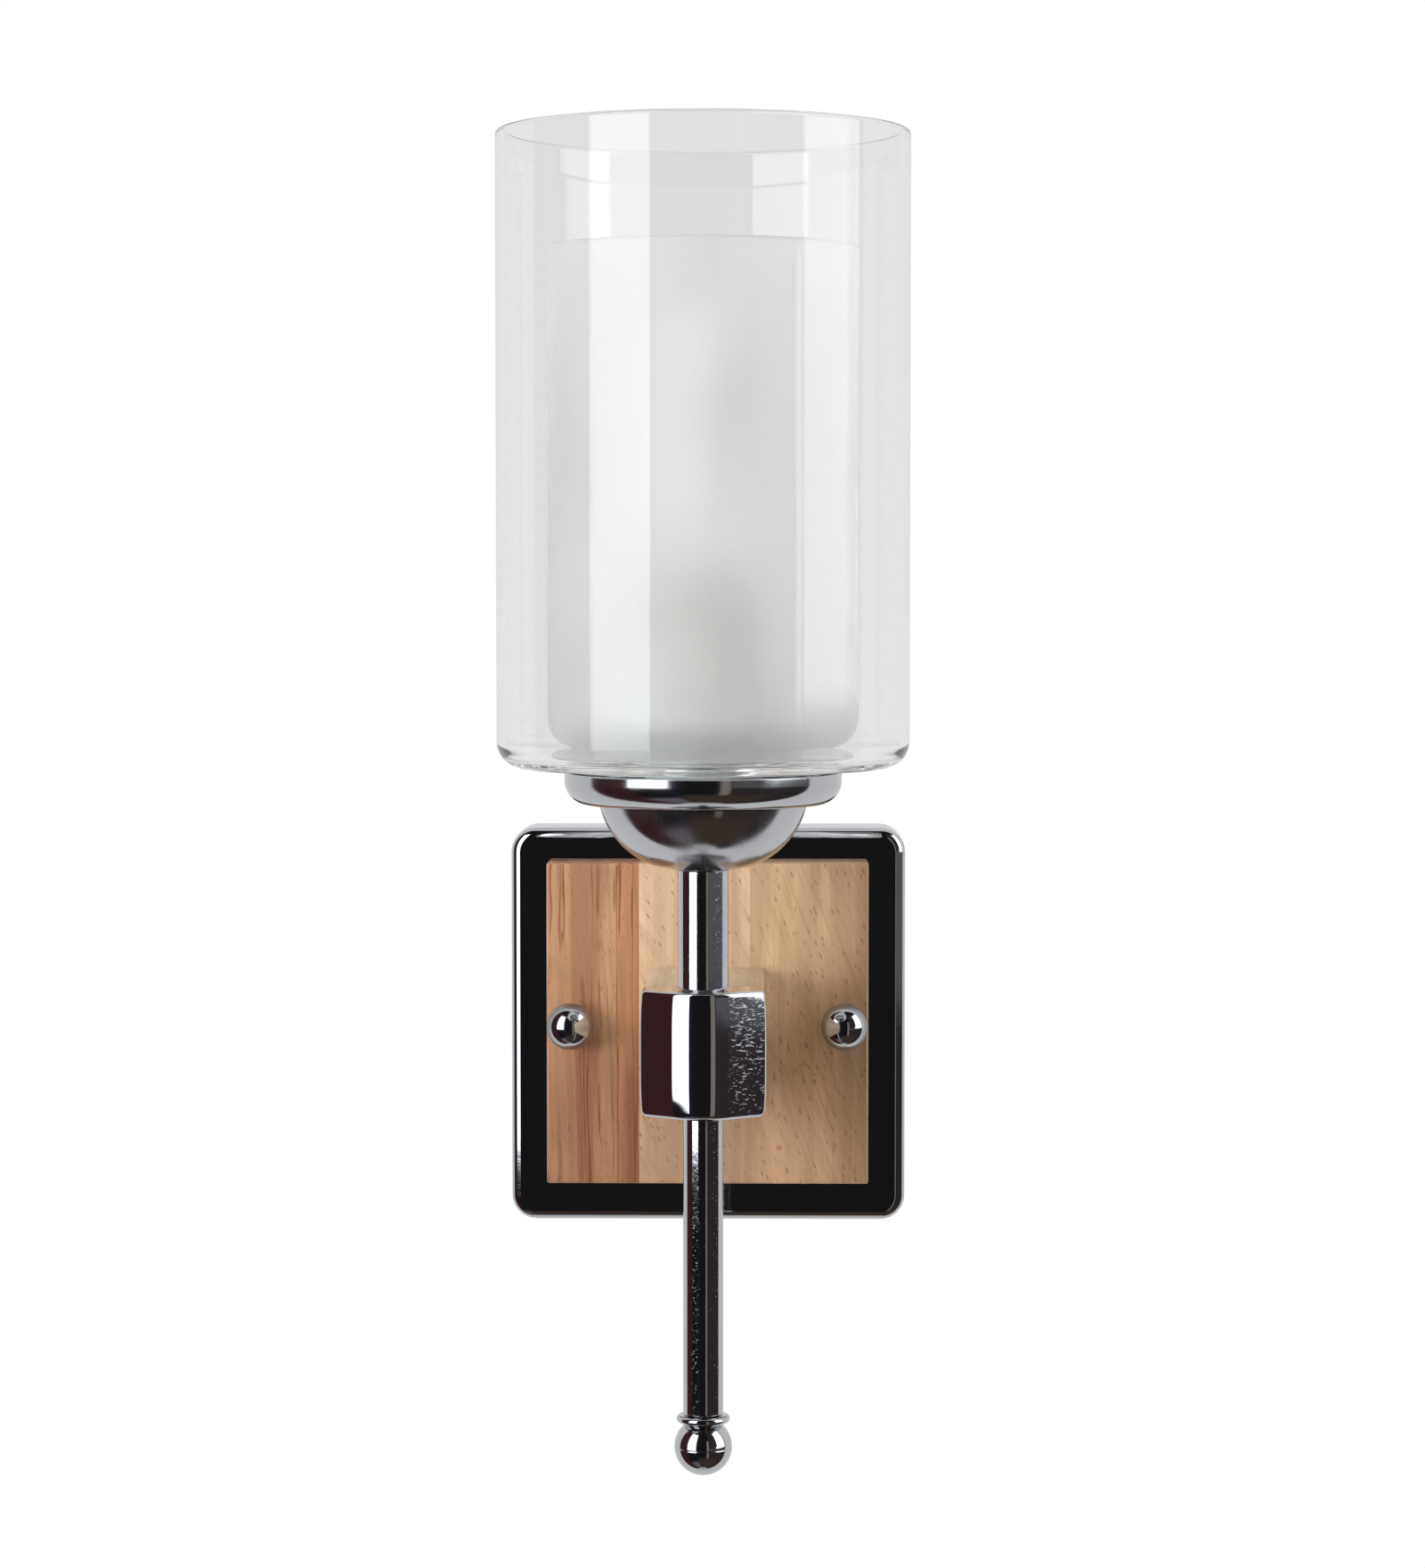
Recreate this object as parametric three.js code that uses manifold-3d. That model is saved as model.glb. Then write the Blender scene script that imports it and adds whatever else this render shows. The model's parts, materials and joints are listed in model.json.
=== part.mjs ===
// Wall light with a candle-like double glass: a clear outer cylinder round a frosted inner one.
// A square chromed pan faced with a wood panel stands on the wall. A wood arm carries a cast block,
// and a vertical column runs through the block: a stem, cup and glasses above it, a drop tube and
// ball finial below it. The fitting hangs on a wall bar by two studs and two ball nuts.
//
// Millimetres, +Z up, the wall is the plane y = 0 and the room is towards -Y.
// The origin is where the arm's axis meets the wall, in the middle of the wall bar's back face.
import * as THREE from "three";
import { mergeVertices } from "three/addons/utils/BufferGeometryUtils.js";
import Module from "manifold-3d";

const wasm = await Module();
wasm.setup();

// ---------------------------------------------------------------- driving dimensions

const seat = 0.3; // free gap left between pieces that rest on or pass through each other
const quarterTurn = Math.PI / 2;

const pan = { size: 105, depth: 20, sheet: 1.2, fold: 4, corner: 5, drop: 1.4 }; // drop: below the arm
const panel = { size: 85, thickness: 9.7, ease: 0.8 };
const arm = { side: 30, length: 52.7, ease: 1.2 };
const block = {
  width: 31.4,
  height: 31.6,
  depth: 19,
  noseRadius: 14.5,
  facetSlope: THREE.MathUtils.degToRad(33),
  ease: 0.8,
};

const wallBar = { length: 90, width: 18, sheet: 1.6, slotWidth: 6, slotLength: 17, slotCentre: 19 };
const stud = { spacing: 72, radius: 2, tipGap: 0.7 }; // tipGap: free length left in the ball nut's bore
const studNut = { acrossFlats: 7, height: 3.2 };
const capWasher = { radius: 5, thickness: 1 };
const capNut = { ballRadius: 6.1, ballCentre: 5, boreDepth: 6.6 };

const pipeThread = { radius: 4.8, bore: 3.9 }; // hollow M10 rod that clamps a stack and carries wires
const pipeNut = { acrossFlats: 14, height: 4 };
const tieWasher = { radius: 10, thickness: 1 };
const tieStub = 4.2; // length of tie rod that stands out behind its nut

const stem = { play: 0.5, length: 29.6, wall: 1 }; // play: free room round the rod inside it
const bowl = {
  rimRadius: 25.7,
  height: 15.7,
  sheet: 1,
  flatRadius: 7,
  sweep: THREE.MathUtils.degToRad(74),
};
const dish = { overhang: 8.6, height: 7.9, sheet: 1, corner: 5 }; // overhang: past the bowl's rim
const seatGasket = { inset: 0.3, width: 4, thickness: 0.6 };

const outerGlass = { radius: 51, height: 156, wall: 2.2, floor: 3.6, corner: 6.5 };
const innerGlass = { radius: 38.4, height: 123, wall: 2, floor: 3, corner: 7.5 };
const glassHole = { play: 1 }; // free room round the lampholder in each glass's floor
const spacerGasket = { width: 6, thickness: 0.6 };
const shadeRing = { flange: 6, flangeHeight: 2.5, wall: 3, height: 7 };

const holder = { radius: 14, wall: 2.4, height: 46.1, baseLip: 1, baseHeight: 6 };
const core = { floorFrom: 8.4, floorHeight: 10, height: 30 };
const screwShell = { play: 0.4, wall: 0.6, height: 17 }; // play: free room round the lamp's cap
const centreContact = { radius: 3, thickness: 1 };

const lamp = {
  contactRadius: 2.4,
  contactHeight: 1.4,
  insulatorRadius: 6.2,
  insulatorHeight: 2.2,
  capRadius: 6.9,
  capWall: 0.5,
  capHeight: 16.5,
  neckPlay: 0.4,
  shoulderHeight: 14,
  radius: 12.5,
  glassHeight: 91,
  glassWall: 0.8,
};

const dropTube = { radius: 5, wall: 1, length: 74.2 };
const dropRod = { radius: 2.9, topCover: 8.6 }; // topCover is the length held in the block
const finialRing = { radius: 6.65, height: 1.9 };
const finial = { ballRadius: 7.2, ballCentre: 5.8, boreDepth: 9.4 };

const wire = { radius: 1, spacing: 3.4, bendRadius: 7, barGap: 1.4, sides: 6 };
const terminal = { width: 29, depth: 12, height: 16, below: 24, pitch: 10, wireHole: 1.6 };
const terminalScrew = { radius: 1.4, length: 3.4, sunk: 0.6 };
const woodScrew = { radius: 1.5, headRadius: 2.6, headHeight: 1.4, grip: 6, inset: 30 };
const earth = { x: 27, z: -24, radius: 2, length: 8.5, nutFlats: 7, nutHeight: 3.2 };

// ---------------------------------------------------------------- places worked out from them

// Outwards from the wall.
const panelBack = pan.depth + seat;
const panelFace = panelBack + panel.thickness;
const capNutBase = panelFace + 2 * seat + capWasher.thickness;
const studEnd = capNutBase + capNut.boreDepth - stud.tipGap;
const panInside = pan.depth - pan.sheet;
const tieWasherAt = panInside - seat - tieWasher.thickness;
const tieNutAt = tieWasherAt - seat - pipeNut.height;
const tieRearEnd = tieNutAt - tieStub;
const armBack = panelFace + seat;
const armEnd = armBack + arm.length;
const blockBack = armEnd + seat;
const columnOut = blockBack + block.depth / 2 + 0.2; // from the wall to the column's axis
const chamberRadius = pipeThread.radius + seat;
const tieFrontEnd = columnOut - chamberRadius - seat;

// Upwards along the column.
const stemBottom = block.height / 2 + seat;
const bowlBottom = stemBottom + stem.length + seat;
const dishBottom = bowlBottom + bowl.height + seat;
const gasketBottom = dishBottom + dish.height + seat;
const outerGlassBottom = gasketBottom + seatGasket.thickness + seat;
const spacerBottom = outerGlassBottom + outerGlass.floor + seat;
const innerGlassBottom = spacerBottom + spacerGasket.thickness + seat;
const shadeRingBottom = innerGlassBottom + innerGlass.floor + seat;
const holderBaseBottom = dishBottom + dish.sheet + seat;
const holderBottom = holderBaseBottom + holder.baseHeight + seat;
const coreBottom = holderBottom + core.floorFrom;
const contactBottom = coreBottom + core.floorHeight + seat;
const lampBottom = contactBottom + centreContact.thickness + seat;
const insulatorBottom = lampBottom + lamp.contactHeight + seat;
const lampCapBottom = insulatorBottom + lamp.insulatorHeight + seat;
const lampGlassBottom = lampCapBottom + 1 + lamp.capWall;

// Downwards along the column.
const dropTop = -block.height / 2 - seat;
const finialRingTop = dropTop - dropTube.length - seat;
const finialTop = finialRingTop - finialRing.height - seat;
const dropRodBottom = finialTop - finial.boreDepth + seat;
const dropRodTop = -block.height / 2 + dropRod.topCover;

// Radii that follow what they fit.
const stemRadius = pipeThread.radius + stem.play + stem.wall;
const glassHoleRadius = holder.radius + glassHole.play;
const screwShellBore = lamp.capRadius + screwShell.play;
const lampCapBore = lamp.capRadius - lamp.capWall;
const lampNeckRadius = lampCapBore - lamp.neckPlay;
const dishRadius = bowl.rimRadius + dish.overhang;
const seatGasketRadius = dishRadius - seatGasket.inset;

// ---------------------------------------------------------------- shapes

// Points of a closed outline whose corners are [x, y] or [x, y, radius].
function outline(corners, arcSteps = 2) {
  const at = (i) => new THREE.Vector2(...corners[(i + corners.length) % corners.length].slice(0, 2));
  return corners.flatMap(([, , radius = 0], i) => {
    const corner = at(i);
    if (!radius) return [corner];
    const into = corner.clone().sub(at(i - 1)).normalize();
    const out = at(i + 1).sub(corner).normalize();
    const turn = Math.atan2(into.cross(out), into.dot(out));
    const start = corner.clone().addScaledVector(into, -radius * Math.tan(Math.abs(turn) / 2));
    const inward = new THREE.Vector2(-into.y, into.x).multiplyScalar(Math.sign(turn) * radius);
    const centre = start.clone().add(inward);
    return Array.from({ length: arcSteps + 1 }, (_, k) =>
      start.clone().rotateAround(centre, (turn * k) / arcSteps),
    );
  });
}

const roundedSquare = (size, corner, arcSteps = 3) => {
  const h = size / 2;
  return outline([[h, -h, corner], [h, h, corner], [-h, h, corner], [-h, -h, corner]], arcSteps);
};

// A solid of revolution about Z from a closed outline of [radius, height] corners.
function revolve(corners, sides = 24, arcSteps = 2) {
  const points = outline(corners, arcSteps);
  return new THREE.LatheGeometry([...points, points[0].clone()], sides).rotateX(quarterTurn);
}

const rod = (radius, from, to, sides = 24) =>
  new THREE.CylinderGeometry(radius, radius, to - from, sides)
    .rotateX(quarterTurn)
    .translate(0, 0, (from + to) / 2);

const ball = (radius, height, sides = 20) =>
  new THREE.SphereGeometry(radius, sides, sides / 2).rotateX(quarterTurn).translate(0, 0, height);

const pipe = (radius, bore, length, sides = 24) =>
  revolve([[bore, 0], [radius, 0], [radius, length], [bore, length]], sides);

const slab = (width, depth, height) =>
  new THREE.BoxGeometry(width, depth, height).translate(0, 0, height / 2);

// A solid through convex sections [{ points, z }] that all have the same number of points.
function stack(sections) {
  const count = sections[0].points.length;
  const positions = sections.flatMap(({ points, z }) => points.flatMap((p) => [p.x, p.y, z]));
  const faces = [];
  for (let s = 0; s + 1 < sections.length; s++)
    for (let i = 0; i < count; i++) {
      const [a, b] = [s * count + i, s * count + ((i + 1) % count)];
      faces.push(a, b, b + count, a, b + count, a + count);
    }
  const last = (sections.length - 1) * count;
  for (let i = 1; i + 1 < count; i++) faces.push(0, i + 1, i, last, last + i, last + i + 1);
  return new THREE.BufferGeometry()
    .setAttribute("position", new THREE.Float32BufferAttribute(positions, 3))
    .setIndex(faces);
}

// Shared vertices, and triangles that have an area, as manifold-3d needs them.
function solid(geometry) {
  const loose = geometry.index ? geometry.toNonIndexed() : geometry;
  const bare = new THREE.BufferGeometry().setAttribute("position", loose.getAttribute("position"));
  const merged = mergeVertices(bare, 1e-4);
  const triangles = [];
  for (let i = 0; i < merged.index.count; i += 3) {
    const [a, b, c] = merged.index.array.slice(i, i + 3);
    if (a !== b && b !== c && c !== a) triangles.push([a, b, c]);
  }
  const build = (order) =>
    new wasm.Manifold(
      new wasm.Mesh({
        numProp: 3,
        vertProperties: merged.attributes.position.array,
        triVerts: Uint32Array.from(triangles.flatMap(order)),
      }),
    );
  const made = build((t) => t);
  return made.volume() > 0 ? made : build(([a, b, c]) => [a, c, b]);
}

function geometryOf(manifold) {
  const { vertProperties, triVerts } = manifold.getMesh();
  const geometry = new THREE.BufferGeometry()
    .setAttribute("position", new THREE.BufferAttribute(vertProperties, 3))
    .setIndex(new THREE.BufferAttribute(triVerts, 1));
  geometry.computeVertexNormals();
  return geometry;
}

const join = (...geometries) => geometryOf(geometries.map(solid).reduce((a, b) => a.add(b)));
const cut = (body, ...tools) =>
  geometryOf(tools.map(solid).reduce((left, tool) => left.subtract(tool), solid(body)));

const hexNut = ({ acrossFlats, height }, bore) =>
  cut(rod(acrossFlats / Math.sqrt(3), 0, height, 6), rod(bore, -1, height + 1));

// A ball cut flat at height 0, with a blind bore up into it from the flat.
const ballNut = ({ ballRadius, ballCentre, boreDepth }, bore) =>
  cut(
    ball(ballRadius, ballCentre),
    slab(4 * ballRadius, 4 * ballRadius, ballRadius).translate(0, 0, -ballRadius),
    rod(bore, -1, boreDepth, 16),
  );

// ---------------------------------------------------------------- materials

const finish = (color, roughness, metalness, more = {}) =>
  new THREE.MeshStandardMaterial({ color, roughness, metalness, ...more });

const chrome = finish(0xd8dadc, 0.05, 1);
const zincSteel = finish(0xb9bcc0, 0.35, 1);
const brass = finish(0xc9a44c, 0.3, 1);
const tinPlate = finish(0xc4c4c0, 0.3, 1);
const wood = finish(0xd9a871, 0.55, 0);
const clearGlass = finish(0xeef0ee, 0.03, 0, { transparent: true, opacity: 0.25 });
const frostedGlass = finish(0xe6e6e4, 0.6, 0, { transparent: true, opacity: 0.85 });
const lampGlass = finish(0xf4f3ee, 0.4, 0);
const whitePlastic = finish(0xe9e7df, 0.4, 0);
const blackPlastic = finish(0x1c1c1e, 0.4, 0);
const silicone = finish(0xd9dad8, 0.5, 0, { transparent: true, opacity: 0.6 });
const brownWire = finish(0x5a3220, 0.5, 0);
const blueWire = finish(0x27508c, 0.5, 0);
const greenWire = finish(0x4f8a36, 0.5, 0);

// ---------------------------------------------------------------- assembly

const root = new THREE.Group();
// Local +Z points out from the wall and local +Y points up.
const outwards = new THREE.Group();
outwards.rotation.x = quarterTurn;
// Local +Z is the column's axis, pointing up.
const column = new THREE.Group();
column.position.y = -columnOut;
root.add(outwards, column);

function place(parent, name, geometry, material, x = 0, y = 0, z = 0) {
  const mesh = new THREE.Mesh(geometry, material);
  mesh.name = name;
  mesh.position.set(x, y, z);
  parent.add(mesh);
  return mesh;
}

const sides = { left: -stud.spacing / 2, right: stud.spacing / 2 };

// ---------------------------------------------------------------- wall bar and its studs

const studHole = stud.radius + seat;
const studBores = (from, to) =>
  Object.values(sides).map((x) => rod(studHole, from, to, 16).translate(x, 0, 0));

function wallBarShape() {
  const bar = new THREE.Shape(
    outline([
      [wallBar.length / 2, -wallBar.width / 2, 3],
      [wallBar.length / 2, wallBar.width / 2, 3],
      [-wallBar.length / 2, wallBar.width / 2, 3],
      [-wallBar.length / 2, -wallBar.width / 2, 3],
    ]),
  );
  const slot = outline(
    [[-1, -1], [1, -1], [1, 1], [-1, 1]].map(([sx, sy]) => [
      (sx * wallBar.slotLength) / 2,
      (sy * wallBar.slotWidth) / 2,
      wallBar.slotWidth / 2 - 0.01,
    ]),
  );
  for (const side of [-1, 1]) {
    const points = slot.map((p) => new THREE.Vector2(p.x + side * wallBar.slotCentre, p.y));
    bar.holes.push(new THREE.Path(points));
  }
  const plate = new THREE.ExtrudeGeometry(bar, { depth: wallBar.sheet, bevelEnabled: false });
  return cut(plate, ...studBores(-1, wallBar.sheet + 1));
}

place(outwards, "wall_bar", wallBarShape(), zincSteel);
for (const [side, x] of Object.entries(sides)) {
  place(outwards, `stud_${side}`, rod(stud.radius, 0, studEnd, 16), zincSteel, x);
  place(outwards, `stud_nut_${side}`, hexNut(studNut, studHole), zincSteel, x, 0, wallBar.sheet + seat);
}

// ---------------------------------------------------------------- pan, wood panel and ball nuts

const pipeHole = rod(pipeThread.radius + seat, -1, panelFace + 1);
const screwCorners = [
  [-1, 1],
  [1, 1],
  [-1, -1],
];
const screwPlaces = screwCorners.map(([sx, sy]) => [sx * woodScrew.inset, sy * woodScrew.inset]);
const blockScrewPlace = [terminal.pitch / 2, -terminal.below - terminal.height / 2];
const screwHole = woodScrew.radius + seat;
const screwHoles = (from, to) =>
  [...screwPlaces, blockScrewPlace].map(([x, y]) => rod(screwHole, from, to, 12).translate(x, y, 0));

// A square tray's solid, rounded where its sides fold into its face, and open at height 0.
function trayForm(size, depth, fold, corner) {
  const foldSteps = 3;
  const sections = [{ points: roundedSquare(size, corner), z: 0 }];
  for (let k = 0; k <= foldSteps; k++) {
    const turn = (quarterTurn * k) / foldSteps;
    const inset = fold * (1 - Math.cos(turn));
    const z = depth - fold + fold * Math.sin(turn);
    sections.push({ points: roundedSquare(size - 2 * inset, corner - inset), z });
  }
  return stack(sections);
}

function panShape() {
  const inside = trayForm(
    pan.size - 2 * pan.sheet,
    pan.depth - pan.sheet + 1,
    pan.fold - pan.sheet,
    pan.corner - pan.sheet,
  ).translate(0, -pan.drop, -1);
  const form = trayForm(pan.size, pan.depth, pan.fold, pan.corner).translate(0, -pan.drop, 0);
  return cut(form, inside, pipeHole, ...studBores(0, pan.depth + 1), ...screwHoles(0, pan.depth + 1));
}

function panelShape() {
  const { size, thickness, ease } = panel;
  const form = stack([
    { points: roundedSquare(size, 1.5, 2), z: 0 },
    { points: roundedSquare(size, 1.5, 2), z: thickness - ease },
    { points: roundedSquare(size - ease, 1.5, 2), z: thickness - ease * 0.3 },
    { points: roundedSquare(size - 2 * ease, 1.5, 2), z: thickness },
  ]);
  const screwDepth = woodScrew.grip - pan.sheet;
  return cut(
    form,
    rod(pipeThread.radius + seat, -1, thickness + 1),
    ...studBores(-1, thickness + 1),
    ...screwHoles(-1, screwDepth),
  );
}

const panHead = (radius, grip, headRadius, headHeight) =>
  join(rod(radius, 0, grip, 12), rod(headRadius, -headHeight, 0.01, 16));

place(outwards, "backplate_pan", panShape(), chrome);
place(outwards, "wood_panel", panelShape(), wood, 0, 0, panelBack);
screwPlaces.forEach(([x, y], i) => {
  const screw = panHead(woodScrew.radius, woodScrew.grip, woodScrew.headRadius, woodScrew.headHeight);
  place(outwards, `panel_screw_${i + 1}`, screw, zincSteel, x, y, panInside - seat);
});

for (const [side, x] of Object.entries(sides)) {
  const { radius, thickness } = capWasher;
  const washerSection = [
    [studHole, 0],
    [radius, 0],
    [radius, thickness, thickness],
    [studHole, thickness],
  ];
  place(outwards, `cap_washer_${side}`, revolve(washerSection, 24), chrome, x, 0, panelFace + seat);
  place(outwards, `cap_nut_${side}`, ballNut(capNut, studHole), chrome, x, 0, capNutBase);
}

// ---------------------------------------------------------------- arm and its hollow tie rod

function armShape() {
  const section = new THREE.Shape(roundedSquare(arm.side, arm.ease, 3));
  const beam = new THREE.ExtrudeGeometry(section, { depth: arm.length, bevelEnabled: false });
  return cut(beam, rod(pipeThread.radius + seat, -1, arm.length + 1));
}

place(outwards, "wood_arm", armShape(), wood, 0, 0, armBack);
const tieRod = pipe(pipeThread.radius, pipeThread.bore, tieFrontEnd - tieRearEnd);
place(outwards, "tie_rod", tieRod, zincSteel, 0, 0, tieRearEnd);
const tieWasherRing = pipe(tieWasher.radius, pipeThread.radius + seat, tieWasher.thickness);
place(outwards, "tie_washer", tieWasherRing, zincSteel, 0, 0, tieWasherAt);
const pipeNutShape = hexNut(pipeNut, pipeThread.radius + seat);
place(outwards, "tie_nut", pipeNutShape, zincSteel, 0, 0, tieNutAt);

// ---------------------------------------------------------------- cast block

// Plan of the block about the column's axis: a flat back, two facets and a round nose between them.
function blockPlan(inset) {
  const half = block.width / 2 - inset;
  const back = columnOut - blockBack - inset;
  const slope = Math.tan(block.facetSlope);
  const radius = block.noseRadius - inset;
  const nose = block.depth - (columnOut - blockBack) - inset;
  const apex = nose + radius * (1 / Math.cos(block.facetSlope) - 1);
  const shoulder = apex - half * slope;
  const ease = block.ease;
  const corners = [
    [half, back, ease],
    [-half, back, ease],
    [-half, -shoulder, ease],
    [0, -apex, radius],
    [half, -shoulder, ease],
  ];
  return outline(corners, 8).reverse();
}

function blockShape() {
  const { height, ease } = block;
  const form = stack([
    { points: blockPlan(ease), z: -height / 2 },
    { points: blockPlan(0), z: -height / 2 + ease },
    { points: blockPlan(0), z: height / 2 - ease },
    { points: blockPlan(ease), z: height / 2 },
  ]);
  const chamber = rod(chamberRadius, -chamberRadius, height / 2 + 1);
  const wireWay = rod(chamberRadius, 0, block.depth).rotateX(-quarterTurn);
  const dropBore = rod(dropRod.radius + seat, -height / 2 - 1, dropRodTop + seat);
  return cut(form, chamber, wireWay, dropBore);
}

place(column, "arm_block", blockShape(), chrome);

// ---------------------------------------------------------------- stem, cup and glass seat

place(column, "stem_tube", pipe(stemRadius, stemRadius - stem.wall, stem.length), chrome, 0, 0, stemBottom);
const stemRodBottom = chamberRadius + 1.4;
const stemRodTop = holderBaseBottom + holder.baseHeight - 1;
const stemRod = pipe(pipeThread.radius, pipeThread.bore, stemRodTop - stemRodBottom);
place(column, "stem_rod", stemRod, zincSteel, 0, 0, stemRodBottom);

// A spun cup: both faces follow one curve, the inner one a sheet further in and up.
function bowlShape() {
  const { rimRadius, height, sheet, flatRadius, sweep } = bowl;
  const steps = 5;
  const curve = (offset) =>
    Array.from({ length: steps + 1 }, (_, k) => {
      const turn = (sweep * k) / steps;
      const across = (rimRadius - flatRadius) * (Math.sin(turn) / Math.sin(sweep));
      const up = height * ((1 - Math.cos(turn)) / (1 - Math.cos(sweep)));
      return [flatRadius + across - offset * Math.sin(turn), up + offset * Math.cos(turn)];
    });
  const hole = pipeThread.radius + seat;
  const inner = curve(sheet).map(([r, z]) => [r, Math.min(z, height)]);
  return cut(revolve([[0, 0], ...curve(0), ...inner.reverse(), [0, sheet]], 36), rod(hole, -1, height));
}

const dishShape = () =>
  revolve(
    [
      [pipeThread.radius + seat, 0],
      [dishRadius, 0, dish.corner],
      [dishRadius, dish.height, dish.sheet * 0.45],
      [dishRadius - dish.sheet, dish.height, dish.sheet * 0.45],
      [dishRadius - dish.sheet, dish.sheet, dish.corner - dish.sheet],
      [pipeThread.radius + seat, dish.sheet],
    ],
    40,
  );

place(column, "cup_bowl", bowlShape(), chrome, 0, 0, bowlBottom);
place(column, "cup_nut", pipeNutShape, zincSteel, 0, 0, bowlBottom + bowl.sheet + seat);
place(column, "glass_dish", dishShape(), chrome, 0, 0, dishBottom);
const gasketRing = pipe(seatGasketRadius, seatGasketRadius - seatGasket.width, seatGasket.thickness, 32);
place(column, "seat_gasket", gasketRing, silicone, 0, 0, gasketBottom);

// ---------------------------------------------------------------- glasses and shade ring

// A round-bottomed glass cylinder with a hole in its floor for the lampholder.
const glassShape = ({ radius, height, wall, floor, corner }, segments) =>
  revolve(
    [
      [glassHoleRadius, 0],
      [radius, 0, corner],
      [radius, height, wall * 0.45],
      [radius - wall, height, wall * 0.45],
      [radius - wall, floor, corner - wall],
      [glassHoleRadius, floor],
    ],
    segments,
  );

place(column, "outer_glass", glassShape(outerGlass, 48), clearGlass, 0, 0, outerGlassBottom);
const spacerRadius = glassHoleRadius + spacerGasket.width;
const spacerRing = pipe(spacerRadius, glassHoleRadius, spacerGasket.thickness, 24);
place(column, "spacer_gasket", spacerRing, silicone, 0, 0, spacerBottom);
place(column, "inner_glass", glassShape(innerGlass, 40), frostedGlass, 0, 0, innerGlassBottom);
const shadeRingShape = revolve(
  [
    [holder.radius + seat, 0],
    [holder.radius + shadeRing.flange, 0],
    [holder.radius + shadeRing.flange, shadeRing.flangeHeight],
    [holder.radius + shadeRing.wall, shadeRing.flangeHeight],
    [holder.radius + shadeRing.wall, shadeRing.height],
    [holder.radius + seat, shadeRing.height],
  ],
  32,
);
place(column, "shade_ring", shadeRingShape, whitePlastic, 0, 0, shadeRingBottom);

// ---------------------------------------------------------------- lampholder

const holderBase = revolve([
  [pipeThread.radius + seat, 0],
  [holder.radius + holder.baseLip, 0, 1.5],
  [holder.radius + holder.baseLip, holder.baseHeight],
  [pipeThread.radius + seat, holder.baseHeight],
]);
place(column, "lampholder_base", holderBase, whitePlastic, 0, 0, holderBaseBottom);
const holderBore = holder.radius - holder.wall;
const skirtShape = pipe(holder.radius, holderBore, holder.height, 24);
place(column, "lampholder_skirt", skirtShape, whitePlastic, 0, 0, holderBottom);

const coreRadius = holderBore - seat;
const screwShellRadius = screwShellBore + screwShell.wall;
const coreShape = revolve([
  [0, 0],
  [coreRadius, 0],
  [coreRadius, core.height],
  [screwShellRadius + seat, core.height],
  [screwShellRadius + seat, core.floorHeight],
  [0, core.floorHeight],
]);
place(column, "lampholder_core", coreShape, whitePlastic, 0, 0, coreBottom);
const shellShape = pipe(screwShellRadius, screwShellBore, screwShell.height);
const contactShape = rod(centreContact.radius, 0, centreContact.thickness);
place(column, "socket_shell", shellShape, brass, 0, 0, contactBottom);
place(column, "socket_contact", contactShape, brass, 0, 0, contactBottom);

// ---------------------------------------------------------------- lamp

place(column, "lamp_contact", rod(lamp.contactRadius, 0, lamp.contactHeight), tinPlate, 0, 0, lampBottom);
const insulator = revolve([
  [0, 0],
  [lamp.contactRadius, 0],
  [lamp.insulatorRadius, lamp.insulatorHeight],
  [0, lamp.insulatorHeight],
], 24);
place(column, "lamp_insulator", insulator, blackPlastic, 0, 0, insulatorBottom);
const lampCap = revolve([
  [0, 0],
  [lamp.capRadius, 0, 0.4],
  [lamp.capRadius, lamp.capHeight],
  [lampCapBore, lamp.capHeight],
  [lampCapBore, 1],
  [0, 1],
], 24);
place(column, "lamp_cap", lampCap, tinPlate, 0, 0, lampCapBottom);

// A tubular envelope: neck, sloping shoulder, straight body and round top, open at the neck.
function envelopeShape() {
  const shoulderFrom = lamp.capHeight - 2;
  const face = (inset) => [
    [lampNeckRadius - inset, 0],
    [lampNeckRadius - inset, shoulderFrom, 5],
    [lamp.radius - inset, shoulderFrom + lamp.shoulderHeight, 8],
    [lamp.radius - inset, lamp.glassHeight - inset, lamp.radius * 0.85 - inset],
    [0, lamp.glassHeight - inset],
  ];
  return revolve([...face(0), ...face(lamp.glassWall).reverse()], 16, 3);
}
place(column, "lamp_envelope", envelopeShape(), lampGlass, 0, 0, lampGlassBottom);

// ---------------------------------------------------------------- drop tube and finial

const dropPipe = pipe(dropTube.radius, dropTube.radius - dropTube.wall, dropTube.length);
place(column, "drop_tube", dropPipe, chrome, 0, 0, dropTop - dropTube.length);
const dropRodShape = rod(dropRod.radius, dropRodBottom, dropRodTop, 16);
place(column, "drop_rod", dropRodShape, zincSteel);
const dropBoreRadius = dropRod.radius + seat;
const ringEdge = finialRing.height * 0.49;
const ringShape = revolve([
  [dropBoreRadius, 0],
  [finialRing.radius, 0, ringEdge],
  [finialRing.radius, finialRing.height, ringEdge],
  [dropBoreRadius, finialRing.height],
], 24);
place(column, "finial_ring", ringShape, chrome, 0, 0, finialRingTop - finialRing.height);
const finialBall = place(column, "finial_ball", ballNut(finial, dropBoreRadius), chrome, 0, 0, finialTop);
finialBall.rotation.x = Math.PI; // its flat faces up

// ---------------------------------------------------------------- terminal block, wires and earth

// The block stands on the pan's inside face, below the wall bar, with a pole for each wire.
const poles = { live: -terminal.pitch, neutral: 0, earth: terminal.pitch };
const terminalBack = panInside - seat - terminal.depth; // from the wall to its screw side
const terminalCentre = -terminal.below - terminal.height / 2;

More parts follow.
